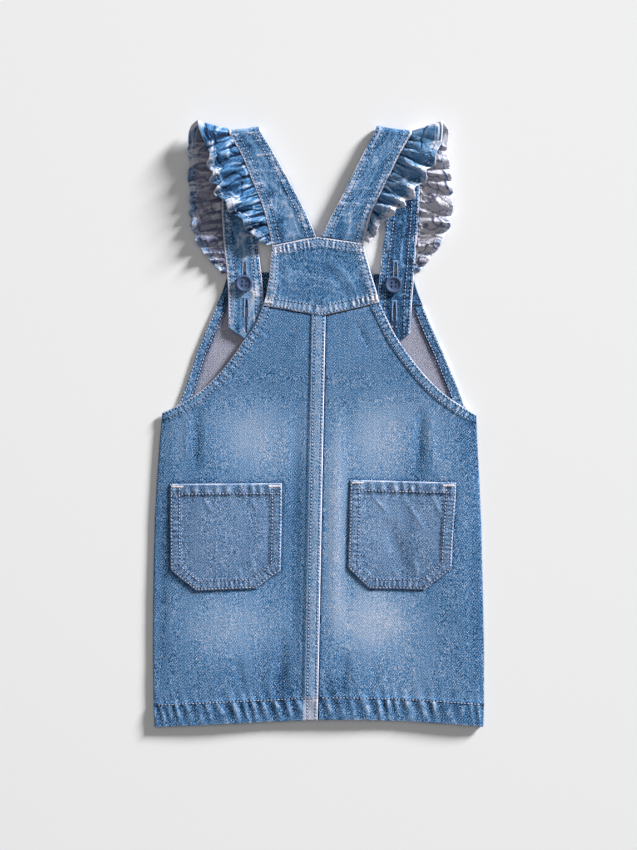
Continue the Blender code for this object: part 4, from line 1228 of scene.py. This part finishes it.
def denim(name, colours, pitch, coarse=1.0):
    """Washed indigo denim. The cloth's points carry its tone, which holds painted light and shade
    as well as wear, where its wrong side shows, on which the undyed weft covers the indigo warp,
    and the nearest row of stitches, whose needle holes get painted shade. coarse is how strong its
    grain is."""
    nodes = Nodes(name)
    own = nodes.attribute("tone")
    ribs = nodes.bands(TWILL_PITCH, TWILL_TURN)
    yarns = nodes.bands(YARN_PITCH, 0.0)
    weave = nodes.math("MULTIPLY", ribs, nodes.math("ADD", yarns, 0.35))
    speckle = nodes.noise((1700.0, 1150.0, 1400.0), 0.0, TWILL_TURN)
    slubs = nodes.noise((520.0, 90.0, 520.0), 2.0)
    mottle = nodes.noise(95.0, 3.0, roughness=0.6)
    wash = nodes.noise(22.0, 2.0)
    grain = nodes.total(
        nodes.around(weave, 0.26, 0.42),
        nodes.around(speckle, 2.0),
        nodes.around(slubs, 0.18),
        nodes.around(mottle, 0.18),
    )
    calm = nodes.around(own, -coarse, 1.15)
    row = nodes.math("POWER", nodes.math("DIVIDE", nodes.attribute("row_off"), HOLE_WIDTH), 2.0)
    turn = nodes.math("MULTIPLY", nodes.attribute("row_along"), 2 * math.pi / pitch)
    beat = nodes.math("POWER", nodes.around(nodes.math("COSINE", turn, 0.0), 0.5, -1.0), 3.0)
    holes = nodes.math("MULTIPLY", nodes.math("POWER", 0.5, row), beat)
    # painted shade in the needle holes
    tone = nodes.total(own, nodes.math("MULTIPLY", grain, calm), nodes.around(wash, 0.14),
                       nodes.math("MULTIPLY", holes, -0.75))
    blue = nodes.ramp(nodes.total(nodes.around(tone, 0.8, 0.0), 0.2), (
        (0.0, colours.darkest),
        (0.20, colours.deep),
        (0.42, colours.washed),
        (0.58, colours.bleached),
        (0.74, colours.faded),
        (1.0, colours.worn),
    ))
    grey = nodes.ramp(nodes.math("ADD", tone, 0.18), (
        (0.0, colours.inside_dark),
        (0.48, colours.inside),
        (1.0, colours.inside_pale),
    ))
    nodes.link(nodes.mixed(nodes.attribute("wrong"), blue, grey), nodes.shader.inputs["Base Color"])
    nodes.shader.inputs["Roughness"].default_value = 0.92
    nodes.shader.inputs["Specular IOR Level"].default_value = 0.20
    nodes.shader.inputs["Sheen Weight"].default_value = 0.05
    nodes.shader.inputs["Sheen Roughness"].default_value = 0.5
    nodes.bump(nodes.total(weave, nodes.math("MULTIPLY", speckle, 1.6),
                           nodes.math("MULTIPLY", holes, -2.0)), 0.00012)
    return nodes.material


def thread_finish(name, pale, dark):
    """Matt sewing thread, with a fine twist."""
    nodes = Nodes(name)
    blotch = nodes.noise(260.0, 1.0)
    colour = nodes.ramp(blotch, ((0.35, dark), (0.65, pale)))
    nodes.link(colour, nodes.shader.inputs["Base Color"])
    nodes.shader.inputs["Roughness"].default_value = 0.7
    nodes.bump(nodes.bands(0.00022, math.radians(30.0)), 0.00005)
    return nodes.material


def topstitching(colours):
    return thread_finish("thread", colours.thread, colours.thread_dark)


def tack_thread(colours):
    return thread_finish("tack_thread", colours.bartack, colours.thread)


def plastic(name, colour):
    """Moulded plastic, matt from washing, with fine scuffs."""
    nodes = Nodes(name)
    cloud = nodes.noise(160.0, 3.0)
    pale = tuple(min(channel * 1.5 + 0.01, 1.0) for channel in colour)
    nodes.link(nodes.ramp(cloud, ((0.3, colour), (0.75, pale))), nodes.shader.inputs["Base Color"])
    scuffs = nodes.noise((900.0, 300.0, 900.0), 3.0, 0.6)
    rough = nodes.add("ShaderNodeMapRange")
    rough.inputs["To Min"].default_value = 0.55
    rough.inputs["To Max"].default_value = 0.80
    nodes.link(scuffs, rough.inputs["Value"])
    nodes.link(rough.outputs["Result"], nodes.shader.inputs["Roughness"])
    nodes.bump(scuffs, 0.00003)
    return nodes.material


# Settings that a user would change

class PinaforeSizes(bpy.types.PropertyGroup):
    """Sizes of the cloth's mesh and of its sewing"""
    cell: FloatProperty(name="Cloth cell", description="Width of a cell of the cloth's mesh",
                        default=1.4 * MM, min=0.5 * MM, unit="LENGTH")
    hidden_cell: FloatProperty(name="Hidden cell", description="The same on the hidden front",
                               default=2.4 * MM, min=0.5 * MM, unit="LENGTH")
    stitch_pitch: FloatProperty(name="Stitch pitch", description="Length of one stitch",
                                default=STITCH_PITCH * MM, min=1.0 * MM, unit="LENGTH")
    thread_width: FloatProperty(name="Thread width", description="Width of the sewing thread",
                                default=0.80 * MM, min=0.1 * MM, unit="LENGTH")


def colour_setting(name, description, default):
    return FloatVectorProperty(name=name, description=description, default=default,
                               subtype="COLOR", size=3, min=0.0, max=1.0)


class PinaforeColours(bpy.types.PropertyGroup):
    """Colours of the cloth, the thread, the buttons and the floor"""
    # the darkest stop, which the painted shade in folds, creases and grooves reaches
    darkest: colour_setting("Darkest denim", "Indigo deep in folds", (0.003, 0.012, 0.042))
    deep: colour_setting("Deep denim", "Unworn indigo", (0.012, 0.055, 0.142))
    washed: colour_setting("Washed denim", "Most of the cloth", (0.044, 0.174, 0.380))
    bleached: colour_setting("Bleached denim", "Between washed and faded", (0.130, 0.264, 0.460))
    faded: colour_setting("Faded denim", "Where washing has faded it", (0.278, 0.380, 0.545))
    worn: colour_setting("Worn denim", "Worn edges and ridges", (0.640, 0.640, 0.740))
    inside: colour_setting("Inside", "The wrong side of the denim", (0.300, 0.310, 0.400))
    inside_dark: colour_setting("Inside, dark", "Its dyed flecks", (0.120, 0.130, 0.210))
    inside_pale: colour_setting("Inside, pale", "Its undyed weft", (0.560, 0.550, 0.620))
    thread: colour_setting("Thread", "Topstitching", (0.600, 0.610, 0.700))
    thread_dark: colour_setting("Thread, dark", "Where the thread has taken dye",
                                (0.250, 0.330, 0.510))
    bartack: colour_setting("Bar tack", "Thread of the bar tacks", (0.800, 0.740, 0.740))
    button: colour_setting("Button", "Plastic of the buttons", (0.034, 0.064, 0.145))
    floor: colour_setting("Floor", "The surface under the garment", (0.80, 0.80, 0.805))


class PinaforeStage(bpy.types.PropertyGroup):
    """Light and camera"""
    key_power: FloatProperty(name="Key light", default=10000.0, min=0.0, unit="POWER",
                             description="Power of the light from the upper right")
    fill_power: FloatProperty(name="Fill light", description="Power of the soft light from above",
                              default=6.0, min=0.0, unit="POWER")
    world_strength: FloatProperty(name="Surround", description="Strength of the even light around",
                                  default=0.16, min=0.0)
    camera_lens: FloatProperty(name="Lens", description="Focal length, in millimetres",
                               default=100.0, min=10.0)


class PinaforeSettings(bpy.types.PropertyGroup):
    """Everything that can be set"""
    sizes: PointerProperty(type=PinaforeSizes)
    colours: PointerProperty(type=PinaforeColours)
    stage: PointerProperty(type=PinaforeStage)


# Panels

class PINAFORE_OT_front(bpy.types.Operator):
    """Make the front, which lies face down"""
    bl_idname = "pinafore.front"
    bl_label = "Front"

    def execute(self, context):
        sizes, colours = context.scene.pinafore.sizes, context.scene.pinafore.colours
        cloth = denim("denim_front", colours, sizes.stitch_pitch / MM)
        thread = Thread(sizes)

        skirt = Panel("front_skirt", CLOTH, sizes.hidden_cell / MM)
        skirt.fade(BACK_FADES_AND_SHADE)
        skirt.fade(FRONT_PAINTED_SHADE)
        skirt.crease(FRONT_CREASES)
        skirt.low -= 0.5 * skirt.relief     # the creases show on the underside too
        skirt.lay_edge(skirt.bottom, FRONT_HEM, 1.0)
        turned = skirt.turned_in(skirt.bottom, FRONT_HEM)
        rows = [(skirt.bottom, FRONT_HEM)]
        for side, line in (("left", skirt.left), ("right", skirt.right)):
            foot = nearest_index(line, FRONT_SIDE_CORNERS[side])
            armhole = line[foot:]
            skirt.lay_edge(armhole, FRONT_ARMHOLE, 2.0)
            turned = np.maximum(turned, skirt.turned_in(armhole, FRONT_ARMHOLE))
            beside = measure(skirt.plan, armhole)[1] - FRONT_ARMHOLE.width
            # painted shade beside the armhole band
            skirt.tone += BESIDE_ARMHOLE_PAINTED_SHADE * bell(beside - 0.5, 1.4)
            rows.append((armhole, FRONT_ARMHOLE))
        skirt.wrong_above = 1.0 - turned
        piece = skirt.shell("front_skirt_cloth", cloth)
        settle(piece, "denim_inside", "front_skirt")

        yoke = Panel("front_yoke", YOKE_WALL, sizes.cell / MM)
        # painted shade on the yoke's inside; its outer side, face down, is spared most of it
        yoke.tone += FRONT_YOKE_PAINTED_SHADE
        yoke.paler_below = FRONT_YOKE_PALER
        yoke_piece = yoke.shell("front_yoke_cloth", cloth)
        settle(yoke_piece, "denim_inside", "front_yoke")

        tree = tree_of(piece)
        for way in (-1, 1):
            thread.sew_bands(tree, rows, skirt.centre, way)
        edges = ((yoke.bottom, YOKE_SIDE), (yoke.top, YOKE_SIDE))
        thread.sew_bands(tree_of(yoke_piece), edges, yoke.centre, 1)
        settle(thread.make("front_stitches", topstitching(colours)), "thread")
        return {"FINISHED"}


class PINAFORE_OT_back(bpy.types.Operator):
    """Make the two back panels and the felled seam between them"""
    bl_idname = "pinafore.back"
    bl_label = "Back"

    def execute(self, context):
        sizes, colours = context.scene.pinafore.sizes, context.scene.pinafore.colours
        cloth = denim("denim_back", colours, sizes.stitch_pitch / MM)
        thread = Thread(sizes)
        for side, sign in (("left", -1), ("right", 1)):
            node = f"back_{side}"
            panel = Panel(node, CLOTH, sizes.cell / MM)
            outer = panel.left if side == "left" else panel.right
            foot = nearest_index(outer, SIDE_CORNERS[side])
            armhole = outer[foot:]
            panel.relief += 0.25 * ripples(panel.plan, 34.0, 1.0 + sign)
            panel.fade(BACK_FADES_AND_SHADE)
            panel.crease(BACK_CREASES)
            panel.lay_edge(panel.bottom, HEM, 0.4 * sign)
            panel.lay_edge(armhole, ARMHOLE, 1.0 + sign)
            rows = [(panel.bottom, HEM), (armhole, ARMHOLE)]
            if side == "left":
                panel.lay_edge(panel.right, FELL, 3.0)
                rows.append((panel.right, FELL))
                worn = panel.turned_in(panel.right, FELL) * panel.turned_in(panel.bottom, HEM)
                panel.tone += 0.22 * worn
                panel.wrong_above = 0.6 * worn
            else:
                # painted shadow beside the lapped edge of the left panel
                panel.tone -= 0.30 * bell(measure(panel.plan, panel.left)[1], 1.4)
            for patch in (f"pocket_{side}", "back_yoke"):
                around = outline(patch)
                off = measure(panel.plan, np.concatenate([around, around[:1]]))[1]
                # painted shadow round the pocket and the yoke, beside a real dip in the cloth
                panel.tone += BESIDE_PATCH_PAINTED_SHADOW * bell(off - 0.4, 1.3)
                panel.relief -= 0.30 * bell(off, 2.2)
            panel.wrong_below[:] = 1.0
            piece = panel.shell(f"{node}_cloth", cloth)
            settle(piece, "denim_back", node)
            thread.sew_bands(tree_of(piece), rows, panel.centre)
        settle(thread.make("back_stitches", topstitching(colours)), "thread")
        return {"FINISHED"}


class PINAFORE_OT_back_yoke(bpy.types.Operator):
    """Make the yoke that carries the straps"""
    bl_idname = "pinafore.back_yoke"
    bl_label = "Back yoke"

    def execute(self, context):
        sizes, colours = context.scene.pinafore.sizes, context.scene.pinafore.colours
        cloth = denim("denim_yoke", colours, sizes.stitch_pitch / MM, coarse=0.85)
        thread = Thread(sizes)
        panel = Panel("back_yoke", YOKE_WALL, sizes.cell * 0.8 / MM)
        panel.low -= PRESSED * bell(measure(panel.plan, panel.bottom)[1], 14.0)
        panel.relief += 0.2 * ripples(panel.plan, 16.0, 5.0)
        panel.fade(YOKE_FADES)
        x, y = panel.plan[..., 0], panel.plan[..., 1]
        creased = wrinkles(x + 0.5 * y, y, (13.0, 10.0), 3.0, 0.14)
        panel.tone += 0.24 * creased
        panel.relief += 0.22 * creased
        panel.crease(YOKE_CREASES)
        rows = ((panel.left, YOKE_SIDE), (panel.right, YOKE_SIDE),
                (panel.top, YOKE_TOP), (panel.bottom, YOKE_LOW))
        for number, (line, band) in enumerate(rows):
            panel.lay_edge(line, band, number)
        panel.tone -= 0.08
        piece = panel.shell("back_yoke_cloth", cloth)
        settle(piece, "denim_yoke", "back_yoke")
        tree = tree_of(piece)
        thread.sew_bands(tree, rows, panel.centre)
        tacks = Thread(sizes)
        for corner, inward in ((panel.bottom[0], 1.0), (panel.bottom[-1], -1.0)):
            start = corner + (1.6 * inward, 3.0)
            tacks.tack(tree, start, start + (0.7 * TACK_LENGTH * inward, -0.8))
        settle(thread.make("yoke_stitches", topstitching(colours)), "thread")
        settle(tacks.make("yoke_bar_tacks", tack_thread(colours)), "thread")
        return {"FINISHED"}


class PINAFORE_OT_pockets(bpy.types.Operator):
    """Make the two patch pockets"""
    bl_idname = "pinafore.pockets"
    bl_label = "Pockets"

    def execute(self, context):
        sizes, colours = context.scene.pinafore.sizes, context.scene.pinafore.colours
        cloth = denim("denim_pocket", colours, sizes.stitch_pitch / MM)
        thread, tacks = Thread(sizes), Thread(sizes)
        for number, side in enumerate(("left", "right")):
            node = f"pocket_{side}"
            panel = Panel(node, CLOTH, sizes.cell * 0.85 / MM)
            around = np.concatenate([panel.left[::-1], panel.bottom[1:], panel.right[1:]])
            panel.low -= PRESSED
            panel.relief += 0.2 * ripples(panel.plan, 20.0, 8.0 + number)
            panel.fade(POCKET_FADES[side])
            panel.crease(POCKET_CREASES[side])
            panel.lay_edge(around, POCKET_SIDE, 1.0 + number)
            panel.lay_edge(panel.top, POCKET_TOP, 4.0 + number)
            panel.tone -= 0.05
            panel.wrong_above[:] = POCKET_GREY
            piece = panel.shell(f"{node}_cloth", cloth)
            settle(piece, "denim_pocket", node)
            tree = tree_of(piece)
            rows = ((around, POCKET_SIDE), (panel.top, POCKET_TOP))
            thread.sew_bands(tree, rows, panel.centre)
            for corner, inward in ((panel.top[0], 1.0), (panel.top[-1], -1.0)):
                start = corner + (1.4 * inward, -2.4)
                tacks.tack(tree, start, start + (TACK_LENGTH * inward, 0.0))
        settle(thread.make("pocket_stitches", topstitching(colours)), "thread")
        settle(tacks.make("pocket_bar_tacks", tack_thread(colours)), "thread")
        return {"FINISHED"}


class PINAFORE_OT_straps(bpy.types.Operator):
    """Make the two straps, with their buttonholes"""
    bl_idname = "pinafore.straps"
    bl_label = "Straps"

    def execute(self, context):
        sizes, colours = context.scene.pinafore.sizes, context.scene.pinafore.colours
        cloth = denim("denim_strap", colours, sizes.stitch_pitch / MM, coarse=0.8)
        thread, worked = Thread(sizes), Thread(sizes)
        for number, side in enumerate(("left", "right")):
            steps, points, is_open = strap_grid(side, sizes.cell * 0.85 / MM)
            strap = Strip(side, points, STRAP_WALL)
            in_front = ease((steps - 2.0) / 0.2)
            strap.tone += STRAP_TONE[side] * (1.0 - in_front)[:, None]
            # painted shade on the right strap's front part
            strap.tone += FRONT_STRAP_PAINTED_SHADE[side] * in_front[:, None]
            streaks = wrinkles(strap.across, strap.along, (6.0, 34.0), 3.0 + number)
            slanted = strap.across + 0.35 * strap.along
            creased = wrinkles(slanted, strap.along, (9.0, 17.0), 9.0 + number, 0.12)
            places = np.stack([strap.across / 8.0, strap.along / 20.0], axis=-1)
            patches = ripples(places, 1.0, 5.0 + number)
            strap.tone += 0.34 * streaks + 0.40 * creased + 0.34 * patches
            strap.tone += 0.55 * bell(strap.across - 0.7, 0.8)
            strap.relief += 0.24 * streaks + 0.40 * creased - 0.16
            for from_edge in (strap.across, strap.across[:, -1:] - strap.across):
                strap.lay_band(strap.along, from_edge, STRAP_SIDE, number)
            layers = strap.sides()
            on_bib = steps > 2.0
            rests = strap.middle[..., 2] - STRAP_WALL / 2
            layers[0][on_bib, :, 2] = np.maximum(layers[0][on_bib, :, 2], rests[on_bib])
            piece = shell(f"strap_{side}_cloth", layers, strap.looks(), cloth, is_open)
            settle(piece, "denim_strap", f"strap_{side}")
            tree = tree_of(piece)
            for hole in BUTTONHOLES[side]:
                reach = np.arange(-BUTTONHOLE_LENGTH / 2, BUTTONHOLE_LENGTH / 2, TACK_PITCH)
                opening = (BUTTONHOLE_GAP / 2
                           + BUTTONHOLE_GAPE * np.cos(np.pi * reach / BUTTONHOLE_LENGTH))
                for sign in (-1.0, 1.0):
                    line = np.column_stack([hole.x + sign * opening, hole.y + reach])
                    outward = np.tile((sign, 0.0), (len(line), 1))
                    worked.across(tree, line, outward, HOLE_STITCH)
                for end in (-0.5, 0.5):
                    y = hole.y + end * (BUTTONHOLE_LENGTH + 2 * HOLE_TACK_GAP)
                    worked.tack(tree, (hole.x - HOLE_TACK, y), (hole.x + HOLE_TACK, y))
            for layer, way in zip(layers, (1.0, -1.0)):
                for off in STRAP_SIDE.rows:
                    for from_inner in (False, True):
                        thread.sew(strap.row_at(layer, off, from_inner),
                                   strap.row_at(strap.normal * way, off, from_inner),
                                   strap.along[:, 0])
        settle(thread.make("strap_stitches", topstitching(colours)), "thread")
        finish = thread_finish("worked_thread", colours.thread_dark, colours.bleached)
        settle(worked.make("buttonhole_stitches", finish), "thread")
        return {"FINISHED"}


class PINAFORE_OT_ruffles(bpy.types.Operator):
    """Make the gathered ruffles on the straps"""
    bl_idname = "pinafore.ruffles"
    bl_label = "Ruffles"

    def execute(self, context):
        sizes, colours = context.scene.pinafore.sizes, context.scene.pinafore.colours
        cloth = denim("denim_ruffle", colours, sizes.stitch_pitch / MM, coarse=0.6)
        thread = Thread(sizes)
        for number, side in enumerate(("left", "right")):
            points, wear_and_painted_shading = ruffle_grid(side, sizes.cell * 0.75 / MM)
            ruffle = Strip(side, points, RUFFLE_WALL)
            # painted light and shade on its folds and parts, and wear
            ruffle.tone += wear_and_painted_shading
            from_edge = ruffle.across[:, -1:] - ruffle.across
            ruffle.lay_band(ruffle.along, from_edge, RUFFLE_HEM, number)
            ruffle.tone -= 0.22 * bell(from_edge, 1.2)
            layers = ruffle.sides()
            ruffle.wrong_below = 0.3 + 0.7 * ease((from_edge - RUFFLE_HEM.width + 1.0) / 2.0)
            piece = shell(f"ruffle_{side}_cloth", layers, ruffle.looks(), cloth)
            settle(piece, "denim_ruffle", f"ruffle_{side}")
            for layer, way in zip(layers, (1.0, -1.0)):
                off = RUFFLE_HEM.rows[0]
                thread.sew(ruffle.row_at(layer, off, from_inner=True),
                           ruffle.row_at(ruffle.normal * way, off, from_inner=True),
                           ruffle.along[:, 0])
        settle(thread.make("ruffle_stitches", topstitching(colours)), "thread")
        return {"FINISHED"}


class PINAFORE_OT_buttons(bpy.types.Operator):
    """Make the two four-hole buttons and the thread that holds them"""
    bl_idname = "pinafore.buttons"
    bl_label = "Buttons"

    def execute(self, context):
        sizes, colours = context.scene.pinafore.sizes, context.scene.pinafore.colours
        navy = plastic("button_plastic", tuple(colours.button))
        thread = Thread(sizes)
        for side, place in BUTTONS.items():
            centre = Vector((*place, STRAP_ON_BIB + STRAP_WALL + SEAM_GAP))
            piece = as_object(f"button_{side}_moulded", button_shape(centre), [navy], 40.0)
            settle(piece, "button_plastic", f"button_{side}")
            top = centre.z + BUTTON_THICK - BUTTON_DISH
            for x in (-0.5, 0.5):
                for strand in (-STRANDS_APART / 2, STRANDS_APART / 2):
                    ends = [(centre.x + x * BUTTON_HOLE_PITCH + strand,
                             centre.y + y * BUTTON_HOLE_PITCH, top) for y in (-0.5, 0.5)]
                    thread.stitch_arch(ends)
        finish = thread_finish("button_thread", colours.button, colours.button)
        settle(thread.make("button_stitches", finish), "thread")
        return {"FINISHED"}


def button_shape(centre):
    """A round button with a raised, rounded rim and four holes."""
    radius = BUTTON_WIDTH / 2
    inside = radius - BUTTON_RIM
    floor = BUTTON_THICK - BUTTON_DISH
    rim = [(radius - BUTTON_ROUND + BUTTON_ROUND * math.cos(turn),
            BUTTON_THICK - BUTTON_ROUND + BUTTON_ROUND * math.sin(turn))
           for turn in np.linspace(0.0, math.pi / 2, 6)]
    dish = [(inside - BUTTON_DISH * share, BUTTON_THICK - BUTTON_DISH * float(ease(share)))
            for share in np.linspace(0.2, 1.0, 6)]
    profile = [(0.0, 0.0), (inside, 0.0), (radius - 0.2, BUTTON_SIDE * 0.8), (radius, BUTTON_SIDE),
               *rim, *dish, (inside - 2.2, floor), (0.0, floor)]
    shape = bmesh.new()
    points = [shape.verts.new((r * MM, 0.0, z * MM)) for r, z in profile]
    edges = [shape.edges.new(pair) for pair in zip(points, points[1:])]
    bmesh.ops.spin(shape, geom=points + edges, cent=(0, 0, 0), axis=(0, 0, 1),
                   angle=2 * math.pi, steps=64, use_merge=True)
    bmesh.ops.remove_doubles(shape, verts=shape.verts[:], dist=0.000005)
    bmesh.ops.recalc_face_normals(shape, faces=shape.faces[:])
    bmesh.ops.translate(shape, verts=shape.verts[:], vec=centre * MM)
    return drilled(shape, centre)


def drilled(shape, centre):
    """The shape with its four holes cut through."""
    body = as_object("blank", shape, [])
    drills = []
    for x, y in ((-1, -1), (-1, 1), (1, -1), (1, 1)):
        hole = bmesh.new()
        spot = centre + Vector((x, y, 0.0)) * BUTTON_HOLE_PITCH / 2
        bmesh.ops.create_cone(hole, cap_ends=True, segments=24, radius1=BUTTON_HOLE / 2 * MM,
                              radius2=BUTTON_HOLE / 2 * MM, depth=BUTTON_THICK * 4 * MM,
                              matrix=Matrix.Translation(spot * MM))
        drills.append(as_object("drill", hole, []))
        cut = body.modifiers.new("hole", "BOOLEAN")
        cut.object = drills[-1]
    bpy.context.view_layer.update()
    result = bmesh.new()
    result.from_object(body, bpy.context.evaluated_depsgraph_get())
    for piece in (body, *drills):
        bpy.data.objects.remove(piece, do_unlink=True)
    return result


# Stage

VIEW_HEIGHT = 748.0               # what the picture takes in at the surface
VIEW_CENTRE = Vector((0.0, -0.44, 0.0))
SENSOR = 36.0
FLOOR_REACH = 30.0                # half the floor's width, in metres
FLOOR_DROP = 0.0003               # in metres, for the stitches on the underside
KEY_PLACE = (14.4, 12.4, 5.8)
KEY_WIDTH = 4.4
FILL_PLACE = (-0.2, 0.1, 1.8)
FILL_WIDTH = 1.6


class PINAFORE_OT_stage(bpy.types.Operator):
    """Make the floor, the lights and the camera that looks straight down"""
    bl_idname = "pinafore.stage"
    bl_label = "Stage"

    def execute(self, context):
        scene = context.scene
        colours, stage = scene.pinafore.colours, scene.pinafore.stage
        shape = bmesh.new()
        bmesh.ops.create_grid(shape, x_segments=1, y_segments=1, size=FLOOR_REACH)
        nodes = Nodes("floor_finish")
        nodes.shader.inputs["Base Color"].default_value = (*colours.floor, 1.0)
        nodes.shader.inputs["Roughness"].default_value = 0.9
        nodes.shader.inputs["Specular IOR Level"].default_value = 0.1
        floor = as_object("floor", shape, [nodes.material])
        floor.location.z = -FLOOR_DROP

        world = bpy.data.worlds.new("studio")
        world.use_nodes = True
        background = world.node_tree.nodes["Background"]
        background.inputs["Color"].default_value = (1.0, 1.0, 1.0, 1.0)
        background.inputs["Strength"].default_value = stage.world_strength
        scene.world = world
        scene.view_settings.view_transform = "Standard"

        self.light("key", KEY_PLACE, KEY_WIDTH, stage.key_power)
        self.light("fill", FILL_PLACE, FILL_WIDTH, stage.fill_power)

        camera = bpy.data.cameras.new("camera")
        camera.lens = stage.camera_lens
        camera.sensor_width = SENSOR
        holder = bpy.data.objects.new("camera", camera)
        scene.collection.objects.link(holder)
        distance = VIEW_HEIGHT / SENSOR * stage.camera_lens
        holder.location = (VIEW_CENTRE + Vector((0.0, 0.0, distance))) * MM
        camera.clip_end = 10.0
        scene.camera = holder
        return {"FINISHED"}

    def light(self, name, place, size, power):
        lamp = bpy.data.lights.new(name, "AREA")
        lamp.shape = "DISK"
        lamp.size = size
        lamp.energy = power
        holder = bpy.data.objects.new(name, lamp)
        holder.location = place
        holder.rotation_mode = "QUATERNION"
        holder.rotation_quaternion = (-Vector(place)).to_track_quat("-Z", "Y")
        bpy.context.scene.collection.objects.link(holder)


STEPS = (PINAFORE_OT_front, PINAFORE_OT_back, PINAFORE_OT_back_yoke, PINAFORE_OT_pockets,
         PINAFORE_OT_straps, PINAFORE_OT_ruffles, PINAFORE_OT_buttons, PINAFORE_OT_stage)


class PINAFORE_PT_panel(bpy.types.Panel):
    """Lists the pinafore's settings and its pieces"""
    bl_idname = "PINAFORE_PT_panel"
    bl_label = "Pinafore"
    bl_space_type = "VIEW_3D"
    bl_region_type = "UI"
    bl_category = "Pinafore"

    def draw(self, context):
        settings = context.scene.pinafore
        for group in (settings.sizes, settings.colours, settings.stage):
            for key in group.bl_rna.properties.keys():
                if key not in ("rna_type", "name"):
                    self.layout.prop(group, key)
        for step in STEPS:
            self.layout.operator(step.bl_idname)


CLASSES = (PinaforeSizes, PinaforeColours, PinaforeStage, PinaforeSettings, *STEPS,
           PINAFORE_PT_panel)


def register():
    for item in CLASSES:
        bpy.utils.register_class(item)
    bpy.types.Scene.pinafore = PointerProperty(type=PinaforeSettings)


def unregister():
    del bpy.types.Scene.pinafore
    for item in reversed(CLASSES):
        bpy.utils.unregister_class(item)


def main():
    register()
    for step in STEPS:
        group, name = step.bl_idname.split(".")
        getattr(getattr(bpy.ops, group), name)()


if __name__ == "__main__":
    main()
